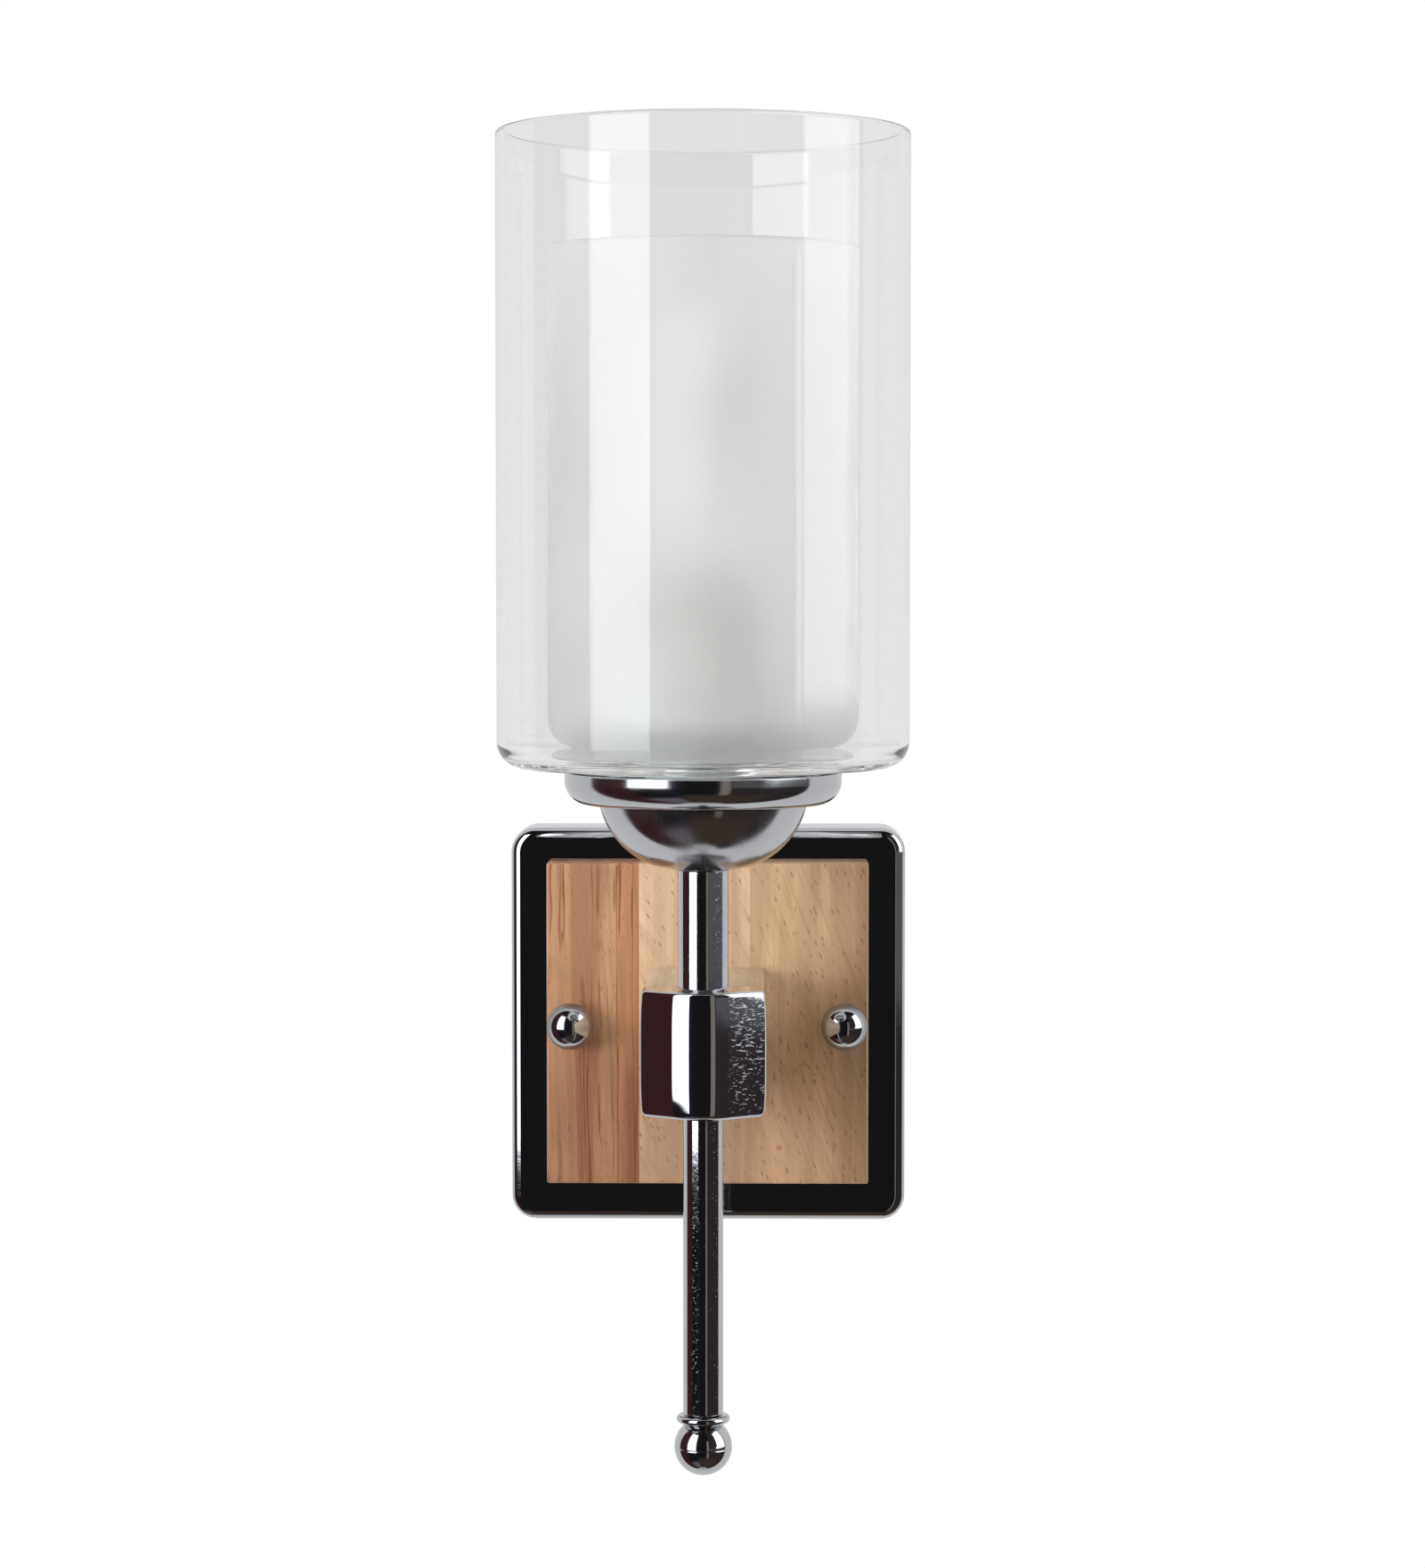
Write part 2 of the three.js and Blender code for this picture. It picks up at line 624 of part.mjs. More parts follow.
function terminalShape() {
  const poleCuts = Object.values(poles).flatMap((x) => [
    rod(terminal.wireHole, -terminal.height, terminal.height, 12)
      .rotateX(quarterTurn)
      .translate(x, 0, terminal.depth / 2),
    rod(terminalScrew.radius + seat, -1, terminal.depth / 2, 12).translate(x, 0, 0),
  ]);
  const fixing = [
    rod(woodScrew.radius + seat, -1, terminal.depth + 1, 12),
    rod(woodScrew.headRadius + seat, -1, woodScrew.headHeight + seat, 12),
  ].map((g) => g.translate(terminal.pitch / 2, 0, 0));
  return cut(slab(terminal.width, terminal.height, terminal.depth), ...poleCuts, ...fixing);
}

place(outwards, "terminal_block", terminalShape(), whitePlastic, 0, terminalCentre, terminalBack);
for (const [pole, x] of Object.entries(poles)) {
  const screw = rod(terminalScrew.radius, 0, terminalScrew.length, 12);
  place(outwards, `terminal_screw_${pole}`, screw, brass, x, terminalCentre, terminalBack + terminalScrew.sunk);
}
const fixingScrew = panHead(
  woodScrew.radius,
  terminal.depth + woodScrew.grip - woodScrew.headHeight,
  woodScrew.headRadius,
  woodScrew.headHeight,
);
const fixingScrewBack = terminalBack + woodScrew.headHeight;
place(outwards, "terminal_fixing_screw", fixingScrew, zincSteel, ...blockScrewPlace, fixingScrewBack);

const earthStudShape = rod(earth.radius, 0, earth.length, 16);
const earthStudBack = panInside - seat - earth.length;
place(outwards, "earth_stud", earthStudShape, zincSteel, earth.x, earth.z, earthStudBack);
const earthNutShape = hexNut({ acrossFlats: earth.nutFlats, height: earth.nutHeight }, earth.radius + seat);
const earthNutBack = panInside - 2 * seat - earth.nutHeight;
place(outwards, "earth_nut", earthNutShape, brass, earth.x, earth.z, earthNutBack);

// An insulated wire swept along world points: a plain round section on one smooth curve.
function wireShape(points, steps) {
  const section = new THREE.Shape(
    Array.from({ length: wire.sides }, (_, k) => {
      const turn = (2 * Math.PI * k) / wire.sides;
      return new THREE.Vector2(wire.radius * Math.cos(turn), wire.radius * Math.sin(turn));
    }),
  );
  const extrudePath = new THREE.CatmullRomCurve3(points, false, "centripetal");
  return new THREE.ExtrudeGeometry(section, { steps, bevelEnabled: false, extrudePath });
}

const terminalTop = -terminal.below;
const wireOut = -(terminalBack + terminal.depth / 2); // y of the poles' wire holes

// From its pole, round behind the tie nut, along the tie rod, up the stem and into the lampholder.
function supplyWire(poleX, sideX) {
  const loopOut = -(wallBar.sheet + wire.barGap + wire.radius);
  const rodMouth = -tieRearEnd;
  const point = (x, y, z) => new THREE.Vector3(x, y, z);
  const bend = [0, 0.25, 0.5, 0.75, 1].map((share) => {
    const turn = share * quarterTurn;
    const centreY = -columnOut + wire.bendRadius;
    return point(sideX, centreY - wire.bendRadius * Math.sin(turn), wire.bendRadius * (1 - Math.cos(turn)));
  });
  return [
    point(poleX, wireOut, terminalTop + seat),
    point(poleX, wireOut + 0.6, terminalTop + 4),
    point((poleX + sideX) / 2, wireOut + 5, -14),
    point(sideX * 1.4, loopOut - 0.3, -6.5),
    point(sideX, (loopOut * 3 + rodMouth) / 4, -2.6),
    point(sideX, rodMouth + 0.8, -0.4),
    point(sideX, rodMouth - 4, 0),
    point(sideX, (-columnOut - tieRearEnd) / 2, 0),
    ...bend,
    point(sideX, -columnOut, (wire.bendRadius + coreBottom) / 2),
    point(sideX, -columnOut, coreBottom - seat),
  ];
}

place(root, "live_wire", wireShape(supplyWire(poles.live, -wire.spacing / 2), 40), brownWire);
place(root, "neutral_wire", wireShape(supplyWire(poles.neutral, wire.spacing / 2), 40), blueWire);

// From the earth pole to the side of the nut on the pan's earth stud.
const earthNutEdge = earth.x - earth.nutFlats / 2 - seat - 0.6;
const earthNutMid = -(earthNutBack + earth.nutHeight / 2);
const earthRoute = [
  new THREE.Vector3(poles.earth, wireOut, terminalTop + seat),
  new THREE.Vector3(poles.earth + 0.6, wireOut - 0.2, terminalTop + 3.4),
  new THREE.Vector3(poles.earth + 5, wireOut - 0.8, terminalTop + 6),
  new THREE.Vector3(poles.earth + 10, wireOut - 1.6, terminalTop + 4.2),
  new THREE.Vector3(earthNutEdge - 2, earthNutMid, earth.z + 0.8),
  new THREE.Vector3(earthNutEdge, earthNutMid, earth.z),
];
place(root, "earth_wire", wireShape(earthRoute, 12), greenWire);

export default root;
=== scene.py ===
"""The looks of a wall light: a clear glass cylinder round a frosted one, chrome, and pale wood.

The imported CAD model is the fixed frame. Nearly every visible piece is built again here from the
CAD node's own box, with fine edges, threads and seams, and gets a procedural material.
Shapes are worked out in millimetres and placed in the row frame in metres.
"""
import json
import math

import bmesh
import bpy
from mathutils import Matrix, Vector, noise


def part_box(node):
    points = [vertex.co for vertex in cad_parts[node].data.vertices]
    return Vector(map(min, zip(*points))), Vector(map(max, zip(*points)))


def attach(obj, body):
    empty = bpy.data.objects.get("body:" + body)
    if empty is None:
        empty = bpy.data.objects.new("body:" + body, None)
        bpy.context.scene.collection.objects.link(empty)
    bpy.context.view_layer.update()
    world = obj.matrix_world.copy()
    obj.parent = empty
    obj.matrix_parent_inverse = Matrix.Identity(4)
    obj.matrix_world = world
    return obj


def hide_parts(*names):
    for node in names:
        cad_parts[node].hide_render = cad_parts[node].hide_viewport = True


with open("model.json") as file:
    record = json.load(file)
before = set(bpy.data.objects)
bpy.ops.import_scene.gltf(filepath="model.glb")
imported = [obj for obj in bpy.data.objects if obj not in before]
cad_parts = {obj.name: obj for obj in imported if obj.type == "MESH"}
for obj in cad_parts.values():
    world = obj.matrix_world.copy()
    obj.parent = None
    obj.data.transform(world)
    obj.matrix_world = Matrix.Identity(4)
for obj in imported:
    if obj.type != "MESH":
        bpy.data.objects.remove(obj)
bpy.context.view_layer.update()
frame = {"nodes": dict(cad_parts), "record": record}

MM = 0.001
BODY_OF = {n: b for b, ns in frame["record"]["behaviour"]["bodies"].items() for n in ns}

# ------------------------------------------------------------------ driving values, millimetres

# A glass: corner and inside are the outer and inner radii of its bottom edge, and thin is its floor
# outside the seat that the gasket needs.
OUTER_GLASS = {
    "wall": 2.2, "floor": 3.6, "thin": 2.0, "seat": 33.0,
    "corner": 6.5, "inside": 2.6, "hole": 15.0,
}
INNER_GLASS = {
    "wall": 2.0, "floor": 3.0, "thin": 3.0, "seat": 25.0,
    "corner": 7.5, "inside": 5.5, "hole": 15.0,
}
DISH = {"sheet": 1.0, "corner": 5.8}
BOWL = {"sheet": 1.0, "flat": 7.0, "sweep": math.radians(74)}
PAN = {"sheet": 1.2, "fold": 3.0, "corner": 6.5, "pillow": 0.35, "drop": 1.4}
BLOCK = {
    "nose": 14.5, "slope": math.radians(33), "ease": 1.0, "cushion": 0.5, "ripple": 0.004,
    "facet_from": 6.6, "facet_fade": 0.8, "drop_bore_top": -6.9,
}
WOOD_EASE = 0.8
STUD_HOLE = 2.3
PIPE_RADIUS = 4.8
PIPE_BORE = 3.9
PIPE_HOLE = 5.1
DROP_BORE = 3.2
TUBE_WALL = 1.0

# Faces that meet at more than this many degrees show a crisp edge.
CRISP_EDGE = 35
GLASS_EDGE = 60


# ------------------------------------------------------------------ outlines and meshes

def outline(corners, steps=6):
    """A closed outline. Each corner is (x, y), or (x, y, radius) to be rounded."""
    count = len(corners)
    points = []
    for i, corner in enumerate(corners):
        here = Vector(corner[:2])
        radius = corner[2] if len(corner) > 2 else 0
        if radius <= 0:
            points.append(here)
            continue
        into = (here - Vector(corners[i - 1][:2])).normalized()
        out = (Vector(corners[(i + 1) % count][:2]) - here).normalized()
        turn = math.atan2(into.x * out.y - into.y * out.x, into.dot(out))
        start = here - into * radius * math.tan(abs(turn) / 2)
        side = math.copysign(radius, turn)
        centre = start + Vector((-into.y, into.x)) * side
        for k in range(steps + 1):
            spoke = start - centre
            spoke.rotate(Matrix.Rotation(turn * k / steps, 2))
            points.append(centre + spoke)
    return points


def rounded_square(size, corner, steps=8):
    half = size / 2
    corners = ((half, -half), (half, half), (-half, half), (-half, -half))
    return outline([(x, y, corner) for x, y in corners], steps)


def evened(points, spacing):
    """The same closed outline with its points an even distance apart."""
    ends = points[1:] + points[:1]
    lengths = [(b - a).length for a, b in zip(points, ends)]
    count = round(sum(lengths) / spacing)
    step = sum(lengths) / count
    result, travelled, i = [], 0.0, 0
    for k in range(count):
        while travelled + lengths[i] < k * step:
            travelled += lengths[i]
            i += 1
        share = (k * step - travelled) / max(lengths[i], 1e-9)
        result.append(points[i].lerp(ends[i], share))
    return result


def make(name, vertices, faces, matrix, sharp=CRISP_EDGE):
    """A smooth-shaded mesh object whose edges stay crisp where faces meet at over sharp degrees."""
    mesh = bpy.data.meshes.new(name)
    mesh.from_pydata([tuple(v) for v in vertices], [], faces)
    mesh.transform(matrix)
    bm = bmesh.new()
    bm.from_mesh(mesh)
    bmesh.ops.remove_doubles(bm, verts=bm.verts, dist=1e-7)
    bmesh.ops.recalc_face_normals(bm, faces=bm.faces)
    bm.to_mesh(mesh)
    bm.free()
    mesh.shade_smooth()
    mesh.set_sharp_from_angle(angle=math.radians(sharp))
    piece = bpy.data.objects.new(name, mesh)
    bpy.context.scene.collection.objects.link(piece)
    return piece


def circle(radius, z, segments):
    """A level ring of points, anticlockwise."""
    turns = (2 * math.pi * k / segments for k in range(segments))
    return [(radius * math.cos(t), radius * math.sin(t), z) for t in turns]


def loft(rings, closed=False):
    """Vertices and faces through rings of equally many points: capped at its ends, or closed."""
    count = len(rings[0])
    vertices = [p for ring in rings for p in ring]
    faces = []
    spans = len(rings) if closed else len(rings) - 1
    for s in range(spans):
        below, above = s * count, (s + 1) % len(rings) * count
        for i in range(count):
            j = (i + 1) % count
            faces.append((below + i, below + j, above + j, above + i))
    if not closed:
        faces.append(tuple(reversed(range(count))))
        faces.append(tuple(range((len(rings) - 1) * count, len(rings) * count)))
    return vertices, faces


def revolved(profile, segments):
    """A closed (radius, height) outline turned about the vertical axis."""
    return loft([circle(point[0], point[1], segments) for point in profile], closed=True)


def stand(node, way):
    """Where a CAD node stands along way: the placing matrix from millimetres, its radius and its height."""
    low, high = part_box(node)
    middle = (low + high) / 2
    places = {
        "up": ((middle.x, middle.y, low.z), 0, high.z - low.z),
        "down": ((middle.x, middle.y, high.z), 180, high.z - low.z),
        "out": ((middle.x, high.y, middle.z), 90, high.y - low.y),
    }
    at, turn, height = places[way]
    matrix = Matrix.Translation(at) @ Matrix.Rotation(math.radians(turn), 4, "X") @ Matrix.Scale(MM, 4)
    return matrix, (high.x - low.x) / 2 / MM, height / MM


def settle(piece, node, material):
    """Gives a finished piece its material, and its node's place in the frame."""
    piece.data.materials.clear()
    piece.data.materials.append(material)
    even = piece.modifiers.new("even_shading", "WEIGHTED_NORMAL")
    even.keep_sharp = True
    even.weight = 100
    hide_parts(node)
    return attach(piece, BODY_OF[node])


def turned(node, way, profile, material, segments=96, steps=6, sharp=CRISP_EDGE):
    """A turned piece in place of a CAD node. profile(radius, height) gives its corners."""
    matrix, radius, height = stand(node, way)
    vertices, faces = revolved(outline(profile(radius, height), steps), segments)
    return settle(make(node + "_skin", vertices, faces, matrix, sharp), node, material)


def drilled(piece, cutters):
    """Cuts each cutter out of the piece and removes the cutters."""
    for cutter in cutters:
        cut = piece.modifiers.new("cut", "BOOLEAN")
        cut.operation = "DIFFERENCE"
        cut.solver = "EXACT"
        cut.object = cutter
    bpy.context.view_layer.update()
    result = bpy.data.meshes.new_from_object(piece.evaluated_get(bpy.context.evaluated_depsgraph_get()))
    piece.modifiers.clear()
    piece.data = result
    for cutter in cutters:
        bpy.data.objects.remove(cutter)
    result.shade_smooth()
    result.set_sharp_from_angle(angle=math.radians(CRISP_EDGE))
    return piece


def pin(radius, low, high, matrix, segments=32):
    """A plain round cutter along local Z."""
    vertices, faces = loft([circle(radius, z, segments) for z in (low, high)])
    return make("cutter", vertices, faces, matrix)


def bar_cutter(width, depth, low, high, matrix):
    """A plain square cutter along local Z."""
    x, y = width / 2, depth / 2
    square = ((-x, -y), (x, -y), (x, y), (-x, y))
    vertices, faces = loft([[(*corner, z) for corner in square] for z in (low, high)])
    return make("cutter", vertices, faces, matrix)


# ------------------------------------------------------------------ materials

class Nodes:
    """A short way to write a node tree."""

    def __init__(self, tree):
        self.tree = tree

    def add(self, kind, inputs=(), **settings):
        node = self.tree.nodes.new(kind)
        for key, value in settings.items():
            setattr(node, key, value)
        for key, value in dict(inputs).items():
            self.put(node.inputs[key], value)
        return node

    def put(self, socket, value):
        if isinstance(value, bpy.types.NodeSocket):
            self.tree.links.new(value, socket)
        else:
            socket.default_value = value

    def math(self, operation, a, b=0.0):
        return self.add("ShaderNodeMath", {0: a, 1: b}, operation=operation).outputs[0]

    def ease(self, value, low, high, to_low=0.0, to_high=1.0):
        """value from low to high, carried smoothly to to_low to to_high."""
        inputs = {"Value": value, "From Min": low, "From Max": high, "To Min": to_low, "To Max": to_high}
        node = self.add("ShaderNodeMapRange", inputs, interpolation_type="SMOOTHSTEP")
        return node.outputs[0]

    def mix(self, share, a, b, blend="MIX"):
        node = self.add("ShaderNodeMix", data_type="RGBA", blend_type=blend)
        for name, value in (("Factor_Float", share), ("A_Color", a), ("B_Color", b)):
            self.put(next(s for s in node.inputs if s.identifier == name), value)
        return next(s for s in node.outputs if s.identifier == "Result_Color")

    def place(self, scale=(1, 1, 1), turn=(0, 0, 0), shift=(0, 0, 0)):
        """The piece's own coordinates, in metres, turned and then scaled."""
        spot = self.add("ShaderNodeTexCoord").outputs["Object"]
        turned_spot = self.add("ShaderNodeMapping", {"Vector": spot, "Rotation": turn, "Location": shift})
        return self.add("ShaderNodeMapping", {"Vector": turned_spot.outputs[0], "Scale": scale}).outputs[0]

    def noise(self, vector, scale=1.0, detail=2.0, rough=0.5, distortion=0.0):
        inputs = {"Vector": vector, "Scale": scale, "Detail": detail, "Roughness": rough}
        return self.add("ShaderNodeTexNoise", {**inputs, "Distortion": distortion}).outputs[0]

    def bump(self, height, distance, base=None):
        """A bump distance metres deep, on top of the one in base."""
        node = self.add("ShaderNodeBump", {"Height": height, "Distance": distance, "Strength": 1.0})
        if base is not None:
            self.put(node.inputs["Normal"], base)
        return node.outputs[0]


def material(name, color, rough, metallic=0.0, **sockets):
    """A Principled material with plain socket values: (material, nodes, shader)."""
    made = bpy.data.materials.new(name)
    made.use_nodes = True
    nodes = Nodes(made.node_tree)
    shader = made.node_tree.nodes["Principled BSDF"]
    shader.inputs["Base Color"].default_value = (*color, 1)
    shader.inputs["Roughness"].default_value = rough
    shader.inputs["Metallic"].default_value = metallic
    for key, value in sockets.items():
        shader.inputs[key.replace("_", " ")].default_value = value
    return made, nodes, shader


def plated(name, color, rough, peel, grain=(1, 1, 1), pits=0.0, rough_shaded_sides=0.0):
    """Polished plate: soft smears in the gloss, an orange peel and small pits, both in metres deep.

    rough_shaded_sides is the extra roughness of the faces that don't look out from the wall.
    Those faces are also painted darker: a painted shade that dims what they reflect."""
    made, n, shader = material(name, color, rough, metallic=1.0)
    smear = n.noise(n.place(scale=(70, 70, 70)), detail=3)
    fleck = n.ease(n.noise(n.place(scale=(2600, 2600, 2600)), detail=1), 0.66, 0.8)
    worn = n.math("ADD", n.ease(smear, 0.35, 0.75, rough * 0.7, rough * 1.8), n.math("MULTIPLY", fleck, 0.10))
    if rough_shaded_sides:
        facing = n.add("ShaderNodeSeparateXYZ", {0: n.add("ShaderNodeTexCoord").outputs["Normal"]}).outputs[1]
        shaded_side_share = n.ease(facing, -0.66, -0.45)
        worn = n.math("ADD", worn, n.math("MULTIPLY", shaded_side_share, rough_shaded_sides))
    n.put(shader.inputs["Roughness"], worn)
    broad = n.noise(n.place(scale=(260 * grain[0], 260 * grain[1], 260 * grain[2])), detail=2)
    fine = n.noise(n.place(scale=(1500 * grain[0], 1500 * grain[1], 1500 * grain[2])), detail=2)
    normal = n.bump(fine, peel * 0.3, n.bump(broad, peel))
    if pits:
        normal = n.bump(fleck, -pits, normal)
    n.put(shader.inputs["Normal"], normal)
    tone = n.ease(n.noise(n.place(scale=(35, 35, 35)), detail=2), 0.3, 0.7)
    darker = tuple(c * 0.93 for c in color)
    shade = n.mix(tone, (*darker, 1), (*color, 1))
    # Painted shade: the faces that don't look out from the wall are darkened.
    if rough_shaded_sides:
        shade = n.mix(shaded_side_share, shade, (*(c * 0.60 for c in color), 1))
    n.put(shader.inputs["Base Color"], shade)
    return made


def cast_plate(name, color, rough):
    """Plate over a casting: the facet on the right is rippled in short level dashes, the rest is smooth."""
    made, n, shader = material(name, color, rough, metallic=1.0)
    across = n.add("ShaderNodeSeparateXYZ", {0: n.place()}).outputs[0]
    facet_from, facet_to = 0.0058, 0.0072
    facet = n.ease(across, facet_from, facet_to)
    ripple = n.noise(n.place(scale=(620, 620, 2200)), detail=3, rough=0.6, distortion=0.4)
    dash = n.ease(ripple, 0.57, 0.72)
    peel = n.noise(n.place(scale=(260, 260, 260)), detail=2)
    rough_side = n.bump(n.math("MULTIPLY", dash, facet), 0.000009)
    n.put(shader.inputs["Normal"], n.bump(peel, 0.000004, rough_side))
    n.put(shader.inputs["Roughness"], n.math("ADD", n.math("MULTIPLY", facet, 0.03), rough))
    return made


# How far apart neighbouring boards lie in the log, so that no two look alike.
BOARD_STEP = (0.37, 0.21, 0.53)


def board(n, stretch, turn, shift, base, dark, streaks, pores):
    """One board: its colour, the marks cut into its surface and the darkest colour in them."""
    light, deep = (tuple(min(c * k, 1) for c in base) for k in (1.10, 0.78))
    pit = tuple(c * k for c, k in zip(base, (0.60, 0.43, 0.35)))
    tone = n.noise(n.place(stretch(120, 6), shift=shift), detail=4, rough=0.6, distortion=0.5)
    figure = n.noise(n.place(stretch(70, 26), turn, shift), detail=3, distortion=2.0)
    fibre = n.noise(n.place(stretch(1300, 40), turn, shift), detail=3, rough=0.65)
    body = n.mix(n.ease(tone, 0.36, 0.64), (*deep, 1), (*light, 1))
    body = n.mix(n.ease(figure, 0.42, 0.66, 0.0, 0.55), body, (*deep, 1))
    body = n.mix(n.ease(tone, 0.50, 0.40, 0.0, streaks * 0.35), body, (*dark, 1))
    body = n.mix(n.ease(fibre, 0.46, 0.74, 0.0, 0.40), body, (*dark, 1))
    # Streaks are the thin contour lines of a long-drawn noise, broken up by a second one.
    drawn = n.noise(n.place(stretch(190, 7), shift=shift), detail=3, distortion=0.5)
    contour = n.ease(n.math("ABSOLUTE", n.math("SUBTRACT", drawn, 0.5)), 0.020, 0.005)
    broken = n.ease(n.noise(n.place(stretch(80, 40), shift=shift), detail=2), 0.40, 0.52)
    line = n.math("MULTIPLY", n.math("MULTIPLY", contour, broken), streaks)
    body = n.mix(line, body, (*dark, 1))
    # Pores are short strokes: some of the cells of a drawn-out grid have one.
    grid = n.place(stretch(1050, 240), turn, shift)
    cells = n.add("ShaderNodeTexVoronoi", {"Vector": grid, "Scale": 1.0})
    chance = n.add("ShaderNodeSeparateColor", {0: cells.outputs["Color"]}).outputs[0]
    stroke = n.ease(cells.outputs["Distance"], 0.26, 0.12)
    pore = n.math("MULTIPLY", stroke, n.ease(chance, 0.26, 0.34))
    body = n.mix(n.math("MULTIPLY", pore, pores), body, (*pit, 1))
    return body, n.math("ADD", pore, line), pit


def wood(name, along, boards):
    """Boards side by side along X. along is 1 for grain up Z and 0 for grain out along Y.

    Each board is (left edge x, base colour, dark colour, grain tilt, streak share, pore share)."""
    blend, seam_half, seam_tone = 0.00012, 0.0003, 0.35
    made, n, shader = material(name, boards[0][1], 0.5, Coat_Weight=0.12, Coat_Roughness=0.35)
    across = n.add("ShaderNodeSeparateXYZ", {0: n.place()}).outputs[0]

    def stretch(side, length):
        return (side, side, length) if along else (side, length, side)

    for index, (edge, base, dark, tilt, streaks, pores) in enumerate(boards):
        turn = (0, tilt, 0) if along else (0, 0, -tilt)
        shift = tuple(step * index for step in BOARD_STEP)
        body, mark, pit = board(n, stretch, turn, shift, base, dark, streaks, pores)
        if index == 0:
            color, marks = body, mark
            continue
        here = n.ease(across, edge - blend, edge + blend)
        color = n.mix(here, color, body)
        before = n.math("MULTIPLY", marks, n.math("SUBTRACT", 1.0, here))
        marks = n.math("ADD", before, n.math("MULTIPLY", mark, here))
        rise, fall = (n.ease(across, edge + way * seam_half, edge) for way in (-1, 1))
        seam = n.math("MULTIPLY", rise, fall)
        color = n.mix(n.math("MULTIPLY", seam, seam_tone), color, (*pit, 1))
    n.put(shader.inputs["Base Color"], color)
    n.put(shader.inputs["Roughness"], n.ease(marks, 0, 1, 0.46, 0.66))
    n.put(shader.inputs["Normal"], n.bump(n.math("MULTIPLY", marks, -1.0), 0.00006))
    return made


def lets_lamps_through(made, n, tint):
    """Rays from lamps pass straight through, so that what is behind the glass is lit."""
    output = made.node_tree.nodes["Material Output"]
    surface = output.inputs["Surface"].links[0].from_socket
    clear = n.add("ShaderNodeBsdfTransparent", {"Color": (*tint, 1)}).outputs[0]
    shadow = n.add("ShaderNodeLightPath").outputs["Is Shadow Ray"]
    either = n.add("ShaderNodeMixShader", {0: shadow, 1: surface, 2: clear})
    n.put(output.inputs["Surface"], either.outputs[0])
    return made


def clear_glass(name):
    """Clear glass, slightly wavy, with a little dust on it."""
    made, n, shader = material(name, (0.977, 0.978, 0.976), 0.0, Transmission_Weight=1.0, IOR=1.5)
    wave = n.noise(n.place(scale=(30, 30, 14)), detail=2)
    dust = n.noise(n.place(scale=(1900, 1900, 1900)), detail=1)
    n.put(shader.inputs["Normal"], n.bump(wave, 0.00005))
    n.put(shader.inputs["Roughness"], n.ease(dust, 0.68, 0.80, 0.0, 0.12))
    return lets_lamps_through(made, n, (0.97, 0.975, 0.97))


def frosted_glass(name):
    """Acid-etched glass: what is behind it shows as a soft blur."""
    made, n, shader = material(name, (0.985, 0.985, 0.98), 0.6, Transmission_Weight=0.97, IOR=1.35)
    cloud = n.noise(n.place(scale=(60, 60, 30)), detail=4)
    grit = n.noise(n.place(scale=(5200, 5200, 5200)), detail=2)
    n.put(shader.inputs["Roughness"], n.ease(cloud, 0.3, 0.7, 0.56, 0.66))
    n.put(shader.inputs["Normal"], n.bump(grit, 0.000012))
    thick, thin = (0.922, 0.914, 0.915, 1), (0.946, 0.938, 0.939, 1)
    n.put(shader.inputs["Base Color"], n.mix(n.ease(cloud, 0.3, 0.7), thick, thin))
    return lets_lamps_through(made, n, (0.9, 0.9, 0.89))


def plain(name, color, rough, metallic=0.0, grit=0.00001, scale=900, **sockets):
    """Moulded, rubber or machined stock: a fine grain, uneven gloss and slightly uneven colour."""
    made, n, shader = material(name, color, rough, metallic, **sockets)
    cloud = n.noise(n.place(scale=(scale * 0.12,) * 3), detail=4)
    grain = n.noise(n.place(scale=(scale,) * 3), detail=3)
    n.put(shader.inputs["Roughness"], n.ease(cloud, 0.3, 0.7, rough * 0.8, min(rough * 1.25, 1)))
    n.put(shader.inputs["Normal"], n.bump(grain, grit))
    low, high = tuple(c * 0.86 for c in color), tuple(min(c * 1.08, 1) for c in color)
    n.put(shader.inputs["Base Color"], n.mix(n.ease(cloud, 0.25, 0.75), (*low, 1), (*high, 1)))
    return made


def earth_sheath(name):
    """Green insulation with a yellow stripe that winds along the wire."""
    made, n, shader = material(name, (0.10, 0.30, 0.06), 0.4)
    inputs = {"Vector": n.place(scale=(260, 260, 260)), "Scale": 1.0, "Distortion": 0.4}
    stripe = n.add("ShaderNodeTexWave", inputs)
    share = n.ease(stripe.outputs[1], 0.45, 0.55)
    n.put(shader.inputs["Base Color"], n.mix(share, (0.08, 0.28, 0.05, 1), (0.75, 0.60, 0.05, 1)))
    n.put(shader.inputs["Normal"], n.bump(n.noise(n.place(scale=(900, 900, 900))), 0.00001))
    return made


